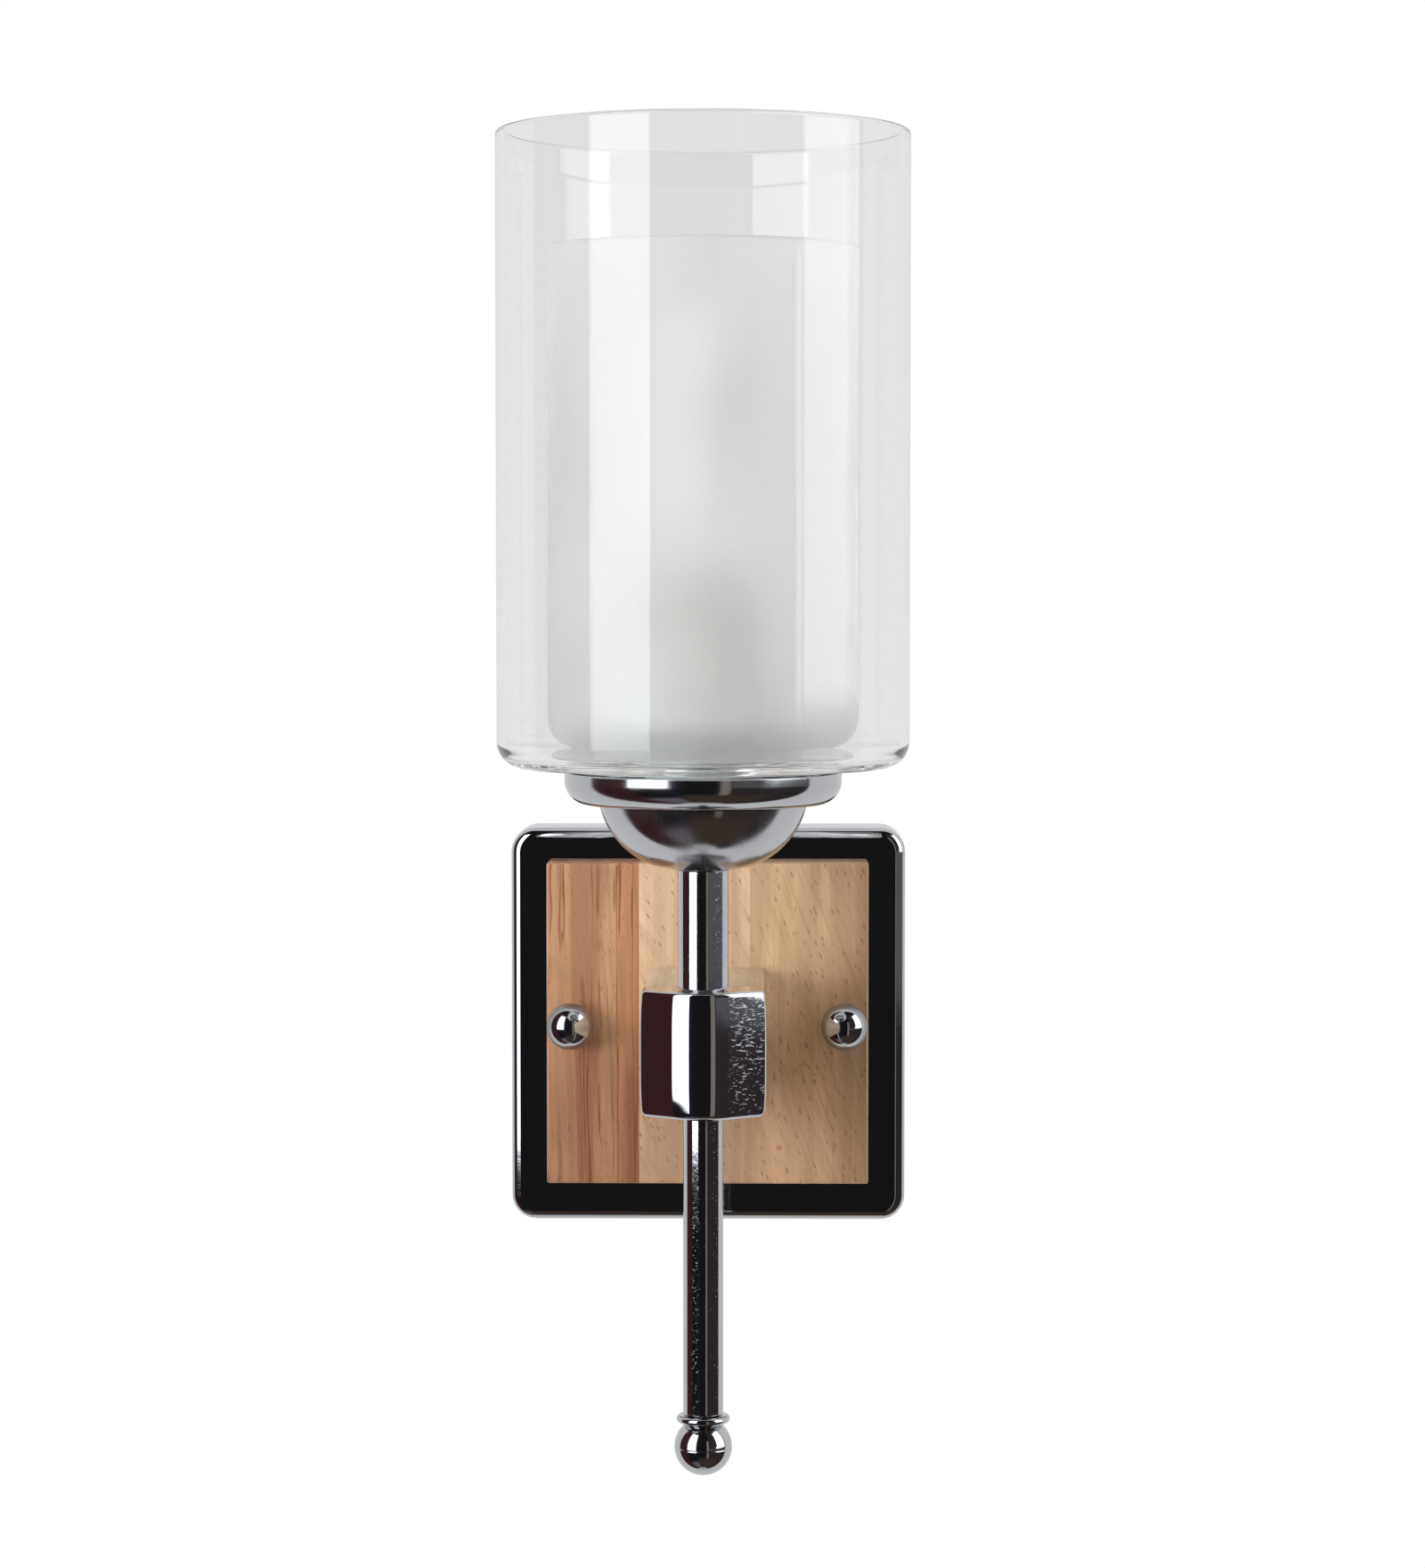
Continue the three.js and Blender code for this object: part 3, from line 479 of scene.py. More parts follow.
STEEL_BLUE = (0.60, 0.61, 0.63)
PALE = (0.68, 0.43, 0.265)
WARM = (0.55, 0.275, 0.145)
RUST = (0.47, 0.205, 0.10)
TAN = (0.70, 0.435, 0.245)
CREAM = (0.78, 0.59, 0.40)
M = {
    "chrome": plated("chrome_plate", STEEL_BLUE, 0.030, 0.0000035),
    "spun": plated("spun_plate", STEEL_BLUE, 0.115, 0.000005),
    "bowl": plated("bowl_plate", STEEL_BLUE, 0.155, 0.000005),
    "ball": plated("ball_plate", STEEL_BLUE, 0.065, 0.000006),
    "nut": plated("nut_plate", STEEL_BLUE, 0.07, 0.000004, rough_shaded_sides=0.30),
    "tube": plated("tube_plate", STEEL_BLUE, 0.035, 0.000009, (1.6, 1.6, 0.7), pits=0.000008),
    "cast": cast_plate("cast_plate", STEEL_BLUE, 0.025),
    "panel": wood("panel_wood", 1, [
        (-1.0, WARM, (0.28, 0.095, 0.04), 0.03, 1.0, 0.45),
        (-0.0240, RUST, (0.26, 0.085, 0.035), 0.05, 1.0, 0.35),
        (-0.0181, PALE, (0.40, 0.21, 0.105), 0.52, 0.20, 0.95),
        (0.0114, TAN, (0.37, 0.19, 0.09), 0.36, 0.15, 0.95),
    ]),
    "arm": wood("arm_wood", 0, [(-1.0, CREAM, (0.42, 0.26, 0.14), 0.30, 0.20, 0.60)]),
    "clear": clear_glass("clear_glass"),
    "frosted": frosted_glass("frosted_glass"),
    "opal": plain("opal_glass", (0.90, 0.89, 0.86), 0.35, scale=400, Subsurface_Weight=0.1),
    "zinc": plain("zinc_plate", (0.62, 0.63, 0.65), 0.32, 1.0, grit=0.000004, scale=1400),
    "brass": plain("bare_brass", (0.72, 0.52, 0.22), 0.28, 1.0, grit=0.000004, scale=1400),
    "tin": plain("lamp_alloy", (0.72, 0.72, 0.70), 0.30, 1.0, grit=0.000004, scale=1400),
    "white": plain("white_moulding", (0.78, 0.77, 0.73), 0.42),
    # A darker copy of the white moulding for the lampholder: painted shade for the shade it stands in inside
    # the frosted glass.
    "holder": plain("white_moulding_painted_shade", (0.62, 0.61, 0.59), 0.45),
    "black": plain("black_moulding", (0.018, 0.018, 0.020), 0.38),
    "rubber": plain("silicone", (0.72, 0.72, 0.71), 0.5, Transmission_Weight=0.35),
    "brown": plain("brown_sheath", (0.11, 0.045, 0.02), 0.42),
    "blue": plain("blue_sheath", (0.02, 0.09, 0.32), 0.42),
    "green": earth_sheath("green_sheath"),
}


# ------------------------------------------------------------------ glasses

def glass_profile(shape):
    """A cylinder with a drilled floor, which thins outside the seat that its gasket needs."""
    wall, floor, thin, seat, hole = (shape[key] for key in ("wall", "floor", "thin", "seat", "hole"))
    return lambda radius, height: [
        (hole, 0, 0.5),
        (radius, 0, shape["corner"]),
        (radius, height, wall * 0.49),
        (radius - wall, height, wall * 0.49),
        (radius - wall, thin, shape["inside"]),
        (seat + floor - thin, thin, 0.8),
        (seat, floor, 0.8),
        (hole, floor, 0.5),
    ]


turned("outer_glass", "up", glass_profile(OUTER_GLASS), M["clear"], 192, 10, GLASS_EDGE)
turned("inner_glass", "up", glass_profile(INNER_GLASS), M["frosted"], 160, 8, GLASS_EDGE)


def ring_profile(width, ease):
    return lambda radius, height: [
        (radius - width, 0, ease), (radius, 0, ease),
        (radius, height, ease), (radius - width, height, ease),
    ]


turned("seat_gasket", "up", ring_profile(4.0, 0.2), M["rubber"], segments=128)
turned("spacer_gasket", "up", ring_profile(6.0, 0.2), M["rubber"], segments=96)


# ------------------------------------------------------------------ chrome column

def dish_profile(radius, height):
    sheet, corner = DISH["sheet"], DISH["corner"]
    return [
        (PIPE_RADIUS, 0),
        (radius, 0, corner),
        (radius, height, sheet * 0.48),
        (radius - sheet, height, sheet * 0.48),
        (radius - sheet, sheet, corner - sheet),
        (PIPE_RADIUS, sheet),
    ]


def bowl_profile(radius, height):
    """A spun cup: both faces follow one curve, the inner one a sheet further in and up."""
    steps = 30
    sheet, flat, sweep = BOWL["sheet"], BOWL["flat"], BOWL["sweep"]

    def curve(offset):
        points = []
        for k in range(steps + 1):
            turn = sweep * k / steps
            across = flat + (radius - flat) * math.sin(turn) / math.sin(sweep)
            up = height * (1 - math.cos(turn)) / (1 - math.cos(sweep))
            points.append((across - offset * math.sin(turn), min(up + offset * math.cos(turn), height)))
        return points

    return [(PIPE_RADIUS, 0)] + curve(0) + curve(sheet)[::-1] + [(PIPE_RADIUS, sheet)]


def tube_profile(radius, height):
    bore = radius - TUBE_WALL
    return [(bore, 0, 0.25), (radius, 0, 0.3), (radius, height, 0.3), (bore, height, 0.25)]


def ring_bead_profile(radius, height):
    round_edge = height * 0.495
    return [(DROP_BORE, 0), (radius, 0, round_edge), (radius, height, round_edge), (DROP_BORE, height)]


def finial_profile(radius, height):
    """A ball from its top flat down, made of two halves that meet at a fine seam."""
    bore, bore_depth, centre = DROP_BORE, 9.4, height - radius
    seam_half, seam_depth, steps = math.radians(1.1), 0.10, 40
    first = math.acos(min(centre / radius, 1))
    points = [(0, bore_depth), (bore, bore_depth), (bore, 0)]
    angles = [first + (math.pi - first) * k / steps for k in range(steps + 1)]
    angles = [a for a in angles if abs(a - math.pi / 2) > 2 * seam_half]
    angles += [math.pi / 2 - 2 * seam_half, math.pi / 2 - seam_half, math.pi / 2, math.pi / 2 + seam_half]
    angles += [math.pi / 2 + 2 * seam_half]
    for a in sorted(angles):
        depth = seam_depth if abs(a - math.pi / 2) < seam_half / 2 else 0
        points.append(((radius - depth) * math.sin(a), centre - radius * math.cos(a)))
    return points


def cap_nut_profile(radius, height):
    """A ball nut on its flat seat, with a blind bore."""
    bore, bore_depth, centre, steps = STUD_HOLE, 6.6, height - radius, 40
    first = math.acos(min(centre / radius, 1))
    points = [(0, bore_depth), (bore, bore_depth), (bore, 0)]
    for k in range(steps + 1):
        a = first + (math.pi - first) * k / steps
        points.append((radius * math.sin(a), centre - radius * math.cos(a)))
    return points


def cap_washer_profile(radius, height):
    return [(STUD_HOLE, 0), (radius, 0, 0.15), (radius, height, 0.4), (STUD_HOLE, height)]


turned("glass_dish", "up", dish_profile, M["spun"], segments=160, steps=12)
turned("cup_bowl", "up", bowl_profile, M["bowl"], segments=160)
turned("stem_tube", "up", tube_profile, M["tube"], segments=96)
turned("drop_tube", "up", tube_profile, M["tube"], segments=96)
turned("finial_ring", "up", ring_bead_profile, M["chrome"], segments=96, steps=12)
turned("finial_ball", "down", finial_profile, M["ball"], segments=96, sharp=50)
for side in ("left", "right"):
    turned(f"cap_nut_{side}", "out", cap_nut_profile, M["nut"], segments=96)
    turned(f"cap_washer_{side}", "out", cap_washer_profile, M["chrome"], segments=64)


def block_plan(inset, half_width, back, front):
    """The casting seen from above: a flat back, two facets and a round nose."""
    slope = math.tan(BLOCK["slope"])
    radius = BLOCK["nose"] - inset
    apex = front - inset + radius * (1 / math.cos(BLOCK["slope"]) - 1)
    half = half_width - inset
    shoulder = apex - half * slope
    ease = BLOCK["ease"]
    corners = [
        (-half, back - inset, ease), (-half, -shoulder, ease * 1.3), (0, -apex, radius),
        (half, -shoulder, ease * 1.3), (half, back - inset, ease),
    ]
    return outline(corners, 24)


def build_block():
    low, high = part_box("arm_block")
    stem_low, stem_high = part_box("stem_tube")
    axis_y = (stem_low.y + stem_high.y) / 2
    half_width = (high.x - low.x) / 2 / MM
    half_height = (high.z - low.z) / 2 / MM
    back, front = (high.y - axis_y) / MM, (axis_y - low.y) / MM
    count = len(evened(block_plan(0, half_width, back, front), 0.4))
    levels = 84
    rings = []
    for k in range(levels + 1):
        # Levels crowd together at the two ends, where the edges are rounded.
        share = -math.cos(math.pi * k / levels)
        z = half_height * share
        edge = BLOCK["ease"] * (1.6 if share < 0 else 1.0)
        depth = max(0.0, abs(z) - (half_height - edge))
        rounding = edge - math.sqrt(max(edge * edge - depth * depth, 0))
        squeeze = 1 - BLOCK["cushion"] / half_width * abs(share) ** 4
        plan = block_plan(min(rounding, 3), half_width, back, front)
        total = sum((b - a).length for a, b in zip(plan, plan[1:] + plan[:1]))
        ring = []
        for p in evened(plan, total / count)[:count]:
            ripple = noise.noise(Vector((p.x * 0.7, p.y * 0.7, z * 1.7)))
            ripple += 0.6 * noise.noise(Vector((p.x * 1.6, p.y * 1.6 + 9, z * 3.4)))
            facet = 0
            if p.y < 0:
                facet = min(max((p.x - BLOCK["facet_from"]) / BLOCK["facet_fade"], 0), 1)
            away = p.normalized() * ripple * BLOCK["ripple"] * facet * (1 - abs(share) ** 8)
            ring.append(((p.x + away.x) * squeeze, p.y + away.y, z))
        rings.append(ring)
    vertices, faces = loft(rings)
    at, scale = Matrix.Translation((0, axis_y, 0)), Matrix.Scale(MM, 4)
    up = at @ scale
    back_way = at @ Matrix.Rotation(math.radians(-90), 4, "X") @ scale
    piece = make("arm_block_skin", vertices, faces, up, sharp=50)
    # The stem rod comes in from above, the tie rod from behind and the drop rod from below.
    cutters = [
        pin(PIPE_HOLE, -PIPE_HOLE, half_height + 1, up),
        pin(PIPE_HOLE, 0, back + 1, back_way),
        pin(DROP_BORE, -half_height - 1, BLOCK["drop_bore_top"], up),
    ]
    settle(drilled(piece, cutters), "arm_block", M["cast"])


build_block()


# ------------------------------------------------------------------ pan, panel and arm

def square_ring(size, corner, z, drop=0.0):
    return [(p.x, p.y - drop, z) for p in rounded_square(size, corner)]


def tray_rings(size, depth, fold, corner, pillow):
    """Rings from the open rim, up the side, round the fold and over the crowned face."""
    fold_steps, face_steps, face_reach, least_corner = 10, 10, 0.96, 0.6
    drop = PAN["drop"]
    rings = [square_ring(size, corner, z, drop) for z in (0, 0.4, depth * 0.35, depth * 0.6)]
    for k in range(fold_steps + 1):
        turn = math.pi / 2 * k / fold_steps
        inset = fold * (1 - math.cos(turn))
        z = depth - pillow - fold + fold * math.sin(turn)
        rings.append(square_ring(size - 2 * inset, max(corner - inset, least_corner), z, drop))
    half = size / 2 - fold
    for k in range(1, face_steps + 1):
        share = k / face_steps * face_reach
        z = depth - pillow * (1 - share) ** 2
        inset = fold + half * share
        rounding = max(corner - fold, least_corner) * (1 - share * 0.5)
        rings.append(square_ring(size - 2 * inset, rounding, z, drop))
    return rings


def build_pan():
    low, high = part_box("backplate_pan")
    size, depth = (high.x - low.x) / MM, (high.y - low.y) / MM
    sheet, fold, corner, pillow = (PAN[key] for key in ("sheet", "fold", "corner", "pillow"))
    outside = tray_rings(size, depth, fold, corner, pillow)
    inside = tray_rings(size - 2 * sheet, depth - sheet, fold - sheet, corner - sheet, pillow)
    vertices, faces = loft(outside[::-1] + inside)
    matrix = Matrix.Rotation(math.radians(90), 4, "X") @ Matrix.Scale(MM, 4)
    piece = make("backplate_pan_skin", vertices, faces, matrix, sharp=50)
    cutters = [pin(PIPE_HOLE, 5, depth + 2, matrix)]
    for side in ("left", "right"):
        cutters.append(pin(STUD_HOLE, 5, depth + 2, stand(f"stud_{side}", "out")[0]))
    settle(drilled(piece, cutters), "backplate_pan", M["chrome"])


def eased_bar(name, width, height, length, corner, ease, matrix):
    """A square bar along local Z with rounded long edges and eased ends."""
    steps = 5
    rings = []
    for end, sign in ((0, 1), (length, -1)):
        turns = range(steps + 1) if sign > 0 else range(steps, -1, -1)
        for k in turns:
            turn = math.pi / 2 * k / steps
            inset = ease * (1 - math.sin(turn))
            z = end + sign * ease * (1 - math.cos(turn))
            half_w, half_h = width / 2 - inset, height / 2 - inset
            corners = [(half_w, -half_h), (half_w, half_h), (-half_w, half_h), (-half_w, -half_h)]
            ring = outline([(x, y, max(corner - inset * 0.5, 0.2)) for x, y in corners], 6)
            rings.append([(p.x, p.y, z) for p in ring])
    vertices, faces = loft(rings)
    return make(name, vertices, faces, matrix)


def build_wood():
    matrix, _, thickness = stand("wood_panel", "out")
    low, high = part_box("wood_panel")
    size = (high.x - low.x) / MM
    panel = eased_bar("wood_panel_skin", size, size, thickness, 0.5, WOOD_EASE, matrix)
    cutters = [pin(PIPE_HOLE, -1, thickness + 1, matrix)]
    for side in ("left", "right"):
        stud_matrix = stand(f"stud_{side}", "out")[0]
        cutters.append(pin(STUD_HOLE, 5, 60, stud_matrix))
    settle(drilled(panel, cutters), "wood_panel", M["panel"])
    matrix, half, length = stand("wood_arm", "out")
    arm = eased_bar("wood_arm_skin", 2 * half, 2 * half, length, 1.2, 0.25, matrix)
    settle(drilled(arm, [pin(PIPE_HOLE, -1, length + 1, matrix)]), "wood_arm", M["arm"])


build_pan()
build_wood()


# ------------------------------------------------------------------ threads, nuts and screws

def threaded(node, way, pitch, depth, bore, material, segments=32, margin=0.6):
    """A screw thread round a rod or a hollow pipe, running out smoothly at both ends."""
    matrix, radius, height = stand(node, way)
    rows_per_turn, least_rows, end_cut = 6, 8, 0.35
    rows = max(int(height / pitch * rows_per_turn), least_rows)
    rings = []
    for j in range(rows + 1):
        z = height * j / rows
        fade = min(1.0, z / margin, (height - z) / margin)
        ring = []
        for k in range(segments):
            phase = 2 * math.pi * (z / pitch - k / segments)
            r = radius - depth * (0.5 - 0.5 * math.cos(phase)) * fade - end_cut * (1 - fade)
            turn = 2 * math.pi * k / segments
            ring.append((r * math.cos(turn), r * math.sin(turn), z))
        rings.append(ring)
    if bore:
        rings += [circle(bore, z, segments) for z in (height, 0)]
    vertices, faces = loft(rings, closed=bool(bore))
    return settle(make(node + "_skin", vertices, faces, matrix, sharp=80), node, material)


def hex_nut(node, way, bore, across_flats, material):
    """A hexagon nut with its corners turned down at both ends."""
    matrix, _, height = stand(node, way)
    apothem, segments, chamfer, lead_in = across_flats / 2, 72, math.tan(math.radians(30)), 0.3
    face = apothem * 0.97
    rings = []
    for radius_of, z_of in (
        (lambda r: bore, lambda r: lead_in),
        (lambda r: bore + lead_in, lambda r: 0.0),
        (lambda r: face, lambda r: 0.0),
        (lambda r: r, lambda r: (r - face) * chamfer),
        (lambda r: r, lambda r: height - (r - face) * chamfer),
        (lambda r: face, lambda r: height),
        (lambda r: bore + lead_in, lambda r: height),
        (lambda r: bore, lambda r: height - lead_in),
    ):
        ring = []
        for k in range(segments):
            turn = 2 * math.pi * k / segments
            corner = (turn + math.pi / 6) % (math.pi / 3) - math.pi / 6
            hexagon = apothem / math.cos(math.pi / 6 - abs(corner))
            r = radius_of(hexagon)
            ring.append((r * math.sin(turn), r * math.cos(turn), z_of(hexagon)))
        rings.append(ring)
    vertices, faces = loft(rings, closed=True)
    return settle(make(node + "_skin", vertices, faces, matrix, sharp=25), node, material)


def tie_washer_profile(radius, height):
    bore = 5.0
    return [(bore, 0, 0.1), (radius, 0, 0.25), (radius, height, 0.25), (bore, height, 0.1)]


# Pitch and depth of a thread, and bore and width across flats of the nut that runs on it.
STUD_THREAD, STUD_NUT = (0.7, 0.35), (2.15, 7.0)
PIPE_THREAD, PIPE_NUT = (1.0, 0.5), (4.9, 14.0)

for side in ("left", "right"):
    threaded(f"stud_{side}", "out", *STUD_THREAD, 0, M["zinc"], segments=24)
    hex_nut(f"stud_nut_{side}", "out", *STUD_NUT, M["zinc"])
threaded("tie_rod", "out", *PIPE_THREAD, PIPE_BORE, M["zinc"])
hex_nut("tie_nut", "out", *PIPE_NUT, M["zinc"])
turned("tie_washer", "out", tie_washer_profile, M["zinc"], 64)
threaded("earth_stud", "out", *STUD_THREAD, 0, M["zinc"], segments=24)
hex_nut("earth_nut", "out", *STUD_NUT, M["brass"])
hex_nut("cup_nut", "up", *PIPE_NUT, M["zinc"])


def headed_screw(node, head_radius, head_height, shank, material, slot_only=False):
    """A screw whose head faces the wall, with a cross or a single slot in it."""
    matrix, _, length = stand(node, "out")
    slot_width, slot_depth, tip = 0.62, head_height * 0.55, 0.25
    profile = [
        (0, 0), (head_radius * 0.6, 0), (head_radius, head_height * 0.45, 0.5),
        (head_radius, head_height), (shank, head_height),
        (shank, length - shank), (tip, length), (0, length),
    ]
    vertices, faces = revolved(outline(profile, 5), 48)
    piece = make(node + "_skin", vertices, faces, matrix)
    reach = head_radius * (2.6 if slot_only else 1.25)
    cutters = [bar_cutter(reach, slot_width, -1, slot_depth, matrix)]
    if not slot_only:
        cutters.append(bar_cutter(slot_width, reach, -1, slot_depth, matrix))
    return settle(drilled(piece, cutters), node, material)


for node in ("panel_screw_1", "panel_screw_2", "panel_screw_3", "terminal_fixing_screw"):
    headed_screw(node, 2.6, 1.4, 1.5, M["zinc"])
for pole in ("live", "neutral", "earth"):
    headed_screw(f"terminal_screw_{pole}", 1.4, 1.0, 1.2, M["brass"], slot_only=True)


# ------------------------------------------------------------------ wall bar and terminal block

def flat_plate(name, outer, holes, thickness, edge, matrix):
    """A plate with holes, cut from a filled curve, whose edges are slightly rounded."""
    curve = bpy.data.curves.new(name, "CURVE")
    curve.dimensions = "2D"
    curve.fill_mode = "BOTH"
    curve.extrude = thickness / 2 - edge
    curve.bevel_depth = edge
    curve.bevel_resolution = 2
    curve.offset = -edge
    for points in [outer] + holes:
        spline = curve.splines.new("POLY")
        spline.points.add(len(points) - 1)
        for point, p in zip(spline.points, points):
            point.co = (p.x, p.y, 0, 1)
        spline.use_cyclic_u = True
    holder = bpy.data.objects.new(name + "_curve", curve)
    bpy.context.scene.collection.objects.link(holder)
    bpy.context.view_layer.update()
    flat = bpy.data.meshes.new_from_object(holder.evaluated_get(bpy.context.evaluated_depsgraph_get()))
    vertices = [(v.co.x, v.co.y, v.co.z + thickness / 2) for v in flat.vertices]
    faces = [tuple(p.vertices) for p in flat.polygons]
    bpy.data.objects.remove(holder)
    return make(name, vertices, faces, matrix)


def build_wall_bar():
    matrix, half_length, thickness = stand("wall_bar", "out")
    low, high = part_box("wall_bar")
    width = (high.z - low.z) / MM
    slot_half, slot_width, slot_centre, bar_corner, edge = 8.5, 6.0, 19.0, 3, 0.2
    reach = slot_width / 2
    outer = outline([
        (half_length, -width / 2, bar_corner), (half_length, width / 2, bar_corner),
        (-half_length, width / 2, bar_corner), (-half_length, -width / 2, bar_corner),
    ], 8)
    holes = []
    # Holes run the other way round than the outline they are cut from.
    for side, x in (("left", -slot_centre), ("right", slot_centre)):
        holes.append(outline([
            (x - slot_half, reach, reach), (x + slot_half, reach, reach),
            (x + slot_half, -reach, reach), (x - slot_half, -reach, reach),
        ], 10))
        stud_x = stand(f"stud_{side}", "out")[0].translation.x / MM
        stud_hole = circle(STUD_HOLE, 0, 24)[::-1]
        holes.append([Vector((stud_x + away, up)) for away, up, _ in stud_hole])
    settle(flat_plate("wall_bar_skin", outer, holes, thickness, edge, matrix), "wall_bar", M["zinc"])


def build_terminal_block():
    matrix, half, depth = stand("terminal_block", "out")
    low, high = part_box("terminal_block")
    height = (high.z - low.z) / MM
    body = eased_bar("terminal_block_skin", 2 * half, height, depth, 0.8, 0.6, matrix)
    pitch, wire_radius, screw_radius = 10.0, 1.6, 1.7
    across = matrix @ Matrix.Translation((0, 0, depth / 2)) @ Matrix.Rotation(math.radians(90), 4, "X")
    cutters = []
    for x in (-pitch, 0, pitch):
        cutters.append(pin(wire_radius, -height, height, across @ Matrix.Translation((x, 0, 0))))
        cutters.append(pin(screw_radius, -1, depth / 2, matrix @ Matrix.Translation((x, 0, 0))))
    for x in (-pitch / 2, pitch / 2):
        for y in (-height / 2, height / 2):
            cutters.append(bar_cutter(2.4, 5.0, -1, depth - 2.5, matrix @ Matrix.Translation((x, y, 0))))
    fixing = matrix @ Matrix.Translation((pitch / 2, 0, 0))
    cutters += [pin(1.8, -1, depth + 1, fixing), pin(2.9, -1, 1.7, fixing)]
    settle(drilled(body, cutters), "terminal_block", M["white"])


build_wall_bar()
build_terminal_block()


# ------------------------------------------------------------------ lampholder and lamp

def holder_base_profile(radius, height):
    """A round foot that steps in where the skirt slides over it."""
    shoulder, spigot = height * 0.6, radius - 0.7
    return [
        (PIPE_HOLE, 0), (radius, 0, 1.5), (radius, shoulder, 0.4),
        (spigot, shoulder, 0.3), (spigot, height, 0.5), (PIPE_HOLE, height),
    ]


def holder_core_profile(radius, height):
    bore, bore_floor = 8.2, 10.0
    return [
        (0, 0), (radius, 0, 0.4), (radius, height, 0.5),
        (bore, height, 0.4), (bore, bore_floor, 0.3), (0, bore_floor),
    ]


def socket_contact_profile(radius, height):
    return [(0, 0), (radius, 0, 0.2), (radius * 0.6, height, 0.4), (0, height)]


def shade_ring_profile(radius, height):
    """A flange under a collar with finger grooves."""
    flange, collar, bore = 2.5, radius - 3.0, radius - 5.7
    step, groove, edge = 0.9, 0.4, 0.15
    points = [(bore, 0, 0.3), (radius, 0, 0.5), (radius, flange, 0.7), (collar, flange, 0.5)]
    z = flange
    while z + 2 * step < height:
        low, high = z + step, z + 1.5 * step
        points += [
            (collar, low, edge), (collar - groove, low, edge),
            (collar - groove, high, edge), (collar, high, edge),
        ]
        z = high
    return points + [(collar, height, 0.5), (bore, height, 0.3)]


def envelope_profile(radius, height):
    """A tubular lamp: open neck, sloping shoulder, straight body and a round top."""
    neck, shoulder_from, shoulder, glass = 6.0, 14.5, 14.0, 0.8

    def face(inset):
        side, top = radius - inset, height - inset
        return [
            (neck - inset, 0), (neck - inset, shoulder_from, 6),
            (side, shoulder_from + shoulder, 10), (side, top, radius * 0.92 - inset), (0, top),
        ]

    return face(0) + face(glass)[::-1]


def lamp_contact_profile(radius, height):
    return [(0, 0), (radius * 0.5, 0), (radius, height * 0.7, 0.6), (radius, height), (0, height)]


def lamp_insulator_profile(radius, height):
    return [(0, 0), (2.5, 0), (radius, height * 0.8, 0.4), (radius, height, 0.2), (0, height)]


LAMP_PITCH = 2.8
SKIRT_PITCH = 3.0
skirt_bore = stand("lampholder_skirt", "up")[1] - 2.4
threaded("lampholder_skirt", "up", SKIRT_PITCH, 0.7, skirt_bore, M["holder"], segments=96, margin=1.5)
turned("lampholder_base", "up", holder_base_profile, M["holder"])
turned("lampholder_core", "up", holder_core_profile, M["holder"])
threaded("socket_shell", "up", LAMP_PITCH, 0.5, 7.05, M["brass"], segments=64)
turned("socket_contact", "up", socket_contact_profile, M["brass"], 48)
turned("shade_ring", "up", shade_ring_profile, M["holder"])
turned("lamp_envelope", "up", envelope_profile, M["opal"], 96, 14, GLASS_EDGE)
turned("lamp_contact", "up", lamp_contact_profile, M["tin"], 48)
turned("lamp_insulator", "up", lamp_insulator_profile, M["black"], 64)
threaded("lamp_cap", "up", LAMP_PITCH, 0.55, 6.2, M["tin"], segments=64, margin=1.2)

# Pieces whose CAD shape is right already. The wires are smoothed; the rods run inside tubes.
for node, key in (("live_wire", "brown"), ("neutral_wire", "blue"), ("earth_wire", "green")):
    wire = frame["nodes"][node]
    weld = wire.modifiers.new("weld", "WELD")
    weld.merge_threshold = 1e-5
    rounder = wire.modifiers.new("round", "SUBSURF")
    rounder.levels = rounder.render_levels = 2
    wire.data.materials.clear()
    wire.data.materials.append(M[key])
for node in ("stem_rod", "drop_rod"):
    frame["nodes"][node].data.materials.clear()
    frame["nodes"][node].data.materials.append(M["zinc"])


# ------------------------------------------------------------------ floor, light and camera

def build_floor():
    radius, thickness, drop = 2.4, 0.02, 1.3
    vertices, faces = loft([circle(radius, z, 96) for z in (-thickness, 0.0)])
    floor = make("floor", vertices, faces, Matrix.Translation((0, 0, -drop)))
    made, n, shader = material("floor_paint", (0.86, 0.86, 0.85), 0.7)
    n.put(shader.inputs["Normal"], n.bump(n.noise(n.place(scale=(40, 40, 40)), detail=4), 0.0005))
    floor.data.materials.append(made)
    floor.visible_glossy = False
    floor.visible_transmission = False


# The room as polished metal sees it: (azimuth from, to, elevation from, to, softness, colour).
# Azimuth 0 is out from the wall and grows to the right; degrees.
ROOM = (
    (-104, 99, -80, 120, 3, (0.012, 0.011, 0.012)),
    (-104, -64, -80, 60, 1.5, (0.050, 0.018, 0.020)),
    (24, 99, -80, 60, 1.5, (0.036, 0.028, 0.030)),
    (-29, -20, -55, 20, 3, (0.012, 0.016, 0.028)),
    (15.5, 24, -40, 30, 0.7, (0.26, 0.22, 0.19)),
    (-64, -28.5, -8.4, 52, 0.3, (2.60, 2.68, 2.80)),
    (58.5, 96, -2.1, 52, 0.4, (2.30, 2.36, 2.45)),
    (54.6, 56.4, -2.6, 4.4, 0.3, (2.80, 2.82, 2.85)),
    (26, 98, -6.3, -2.2, 0.5, (0.12, 0.12, 0.13)),
    (-66, -22, -78, -52, 7, (0.16, 0.14, 0.16)),
    (-20, 70, -79, -38, 9, (0.060, 0.042, 0.032)),
    (-200, 200, -100, -86, 9, (0.36, 0.35, 0.35)),
)
BACKDROP = (0.72, 0.725, 0.73)
BEHIND_GLASS = (0.80, 0.80, 0.80)
DARKEST_THROUGH_GLASS = (0.56, 0.56, 0.55)


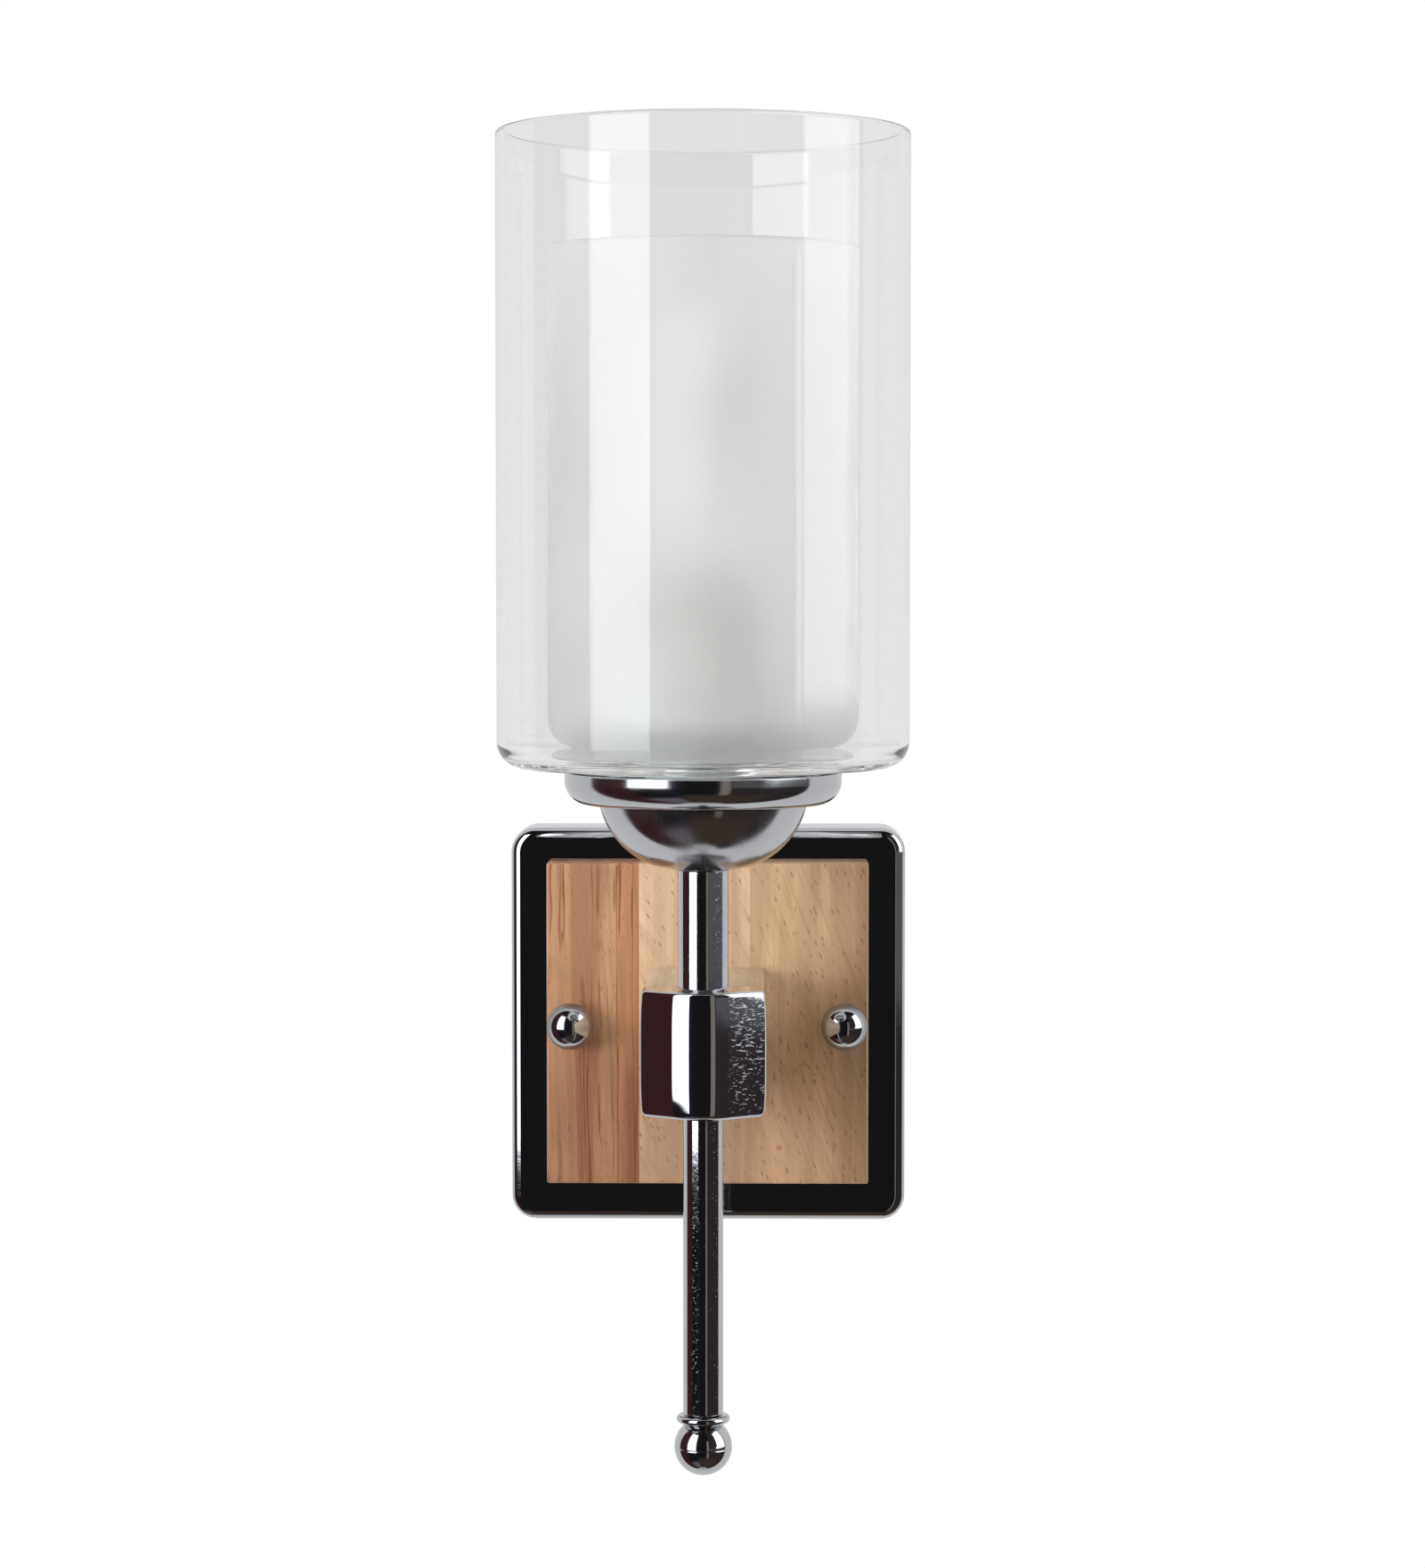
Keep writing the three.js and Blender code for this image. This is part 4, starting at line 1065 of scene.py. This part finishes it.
def build_world():
    world = bpy.data.worlds.new("studio")
    bpy.context.scene.world = world
    world.use_nodes = True
    n = Nodes(world.node_tree)
    way = n.add("ShaderNodeSeparateXYZ", {0: n.add("ShaderNodeTexCoord").outputs["Generated"]}).outputs
    azimuth = n.math("MULTIPLY", n.math("ARCTAN2", way[0], n.math("MULTIPLY", way[1], -1.0)), 180 / math.pi)
    elevation = n.math("MULTIPLY", n.math("ARCSINE", way[2]), 180 / math.pi)

    def within(value, low, high, soft):
        rise = n.ease(value, low - soft, low + soft)
        return n.math("MULTIPLY", rise, n.ease(value, high - soft, high + soft, 1.0, 0.0))

    color = (*BACKDROP, 1)
    for left, right, low, high, soft, shade in ROOM:
        mask = n.math("MULTIPLY", within(azimuth, left, right, soft), within(elevation, low, high, soft))
        color = n.mix(mask, color, (*shade, 1))
    path = n.add("ShaderNodeLightPath").outputs
    away = n.math("MAXIMUM", n.ease(way[1], -0.05, 0.05), n.ease(elevation, -18, -12, 1.0, 0.0))
    through = path["Is Transmission Ray"]
    color = n.mix(through, color, (*DARKEST_THROUGH_GLASS, 1), "LIGHTEN")
    color = n.mix(n.math("MULTIPLY", through, away), color, (*BEHIND_GLASS, 1))
    color = n.mix(path["Is Camera Ray"], color, (1.0, 1.0, 1.0, 1))
    background = world.node_tree.nodes["Background"]
    n.put(background.inputs["Color"], color)
    world.cycles.sampling_method = "MANUAL"
    world.cycles.sample_map_resolution = 1024


def place_light(light, at, towards):
    """Stands a light where polished metal and glass don't show it: what they show is the room."""
    holder = bpy.data.objects.new(light.name, light)
    holder.location = at
    holder.rotation_mode = "QUATERNION"
    holder.rotation_quaternion = (Vector(towards) - Vector(at)).to_track_quat("-Z", "Y")
    holder.visible_glossy = False
    holder.visible_transmission = False
    bpy.context.scene.collection.objects.link(holder)


def lamp(name, at, towards, size, power, color):
    """A large soft round panel."""
    light = bpy.data.lights.new(name, "AREA")
    light.shape = "DISK"
    light.size = size
    light.energy = power
    light.color = color
    place_light(light, at, towards)


def snoot(name, at, towards, width, power, color):
    """A narrow soft-edged cone, width degrees across, that only lifts the top of the panel."""
    light = bpy.data.lights.new(name, "SPOT")
    light.spot_size = math.radians(width)
    light.spot_blend = 1.0
    light.shadow_soft_size = 0.005
    light.use_shadow = False
    light.energy = power
    light.color = color
    place_light(light, at, towards)


def build_camera():
    """A long lens a metre in front of the column, looking slightly down."""
    camera = bpy.data.cameras.new("camera")
    camera.lens = 92.05
    camera.sensor_width = 36.0
    camera.clip_start = 0.05
    camera.clip_end = 50
    holder = bpy.data.objects.new("camera", camera)
    holder.location = (0.0177, -1.083, 0.1212)
    holder.rotation_euler = (math.radians(90 - 3.14), 0, math.radians(0.89))
    bpy.context.scene.collection.objects.link(holder)
    bpy.context.scene.camera = holder


build_camera()
build_floor()
build_world()
lamp("key", (-0.80, -1.0, 0.18), (0, -0.04, 0.0), 0.5, 5.3, (1.0, 0.985, 0.96))
lamp("fill", (0.9, -1.1, 0.3), (0, -0.04, 0), 0.8, 1.0, (1.0, 0.98, 0.95))
snoot("snoot", (-0.35, -0.95, 0.30), (-0.022, -0.03, 0.044), 7.6, 21, (0.66, 0.91, 1.0))
bpy.context.scene.view_settings.view_transform = "Standard"
# Light that runs round inside the glass floor needs many turns to get out again.
for kind in ("max_bounces", "transmission_bounces", "glossy_bounces"):
    setattr(bpy.context.scene.cycles, kind, 32)
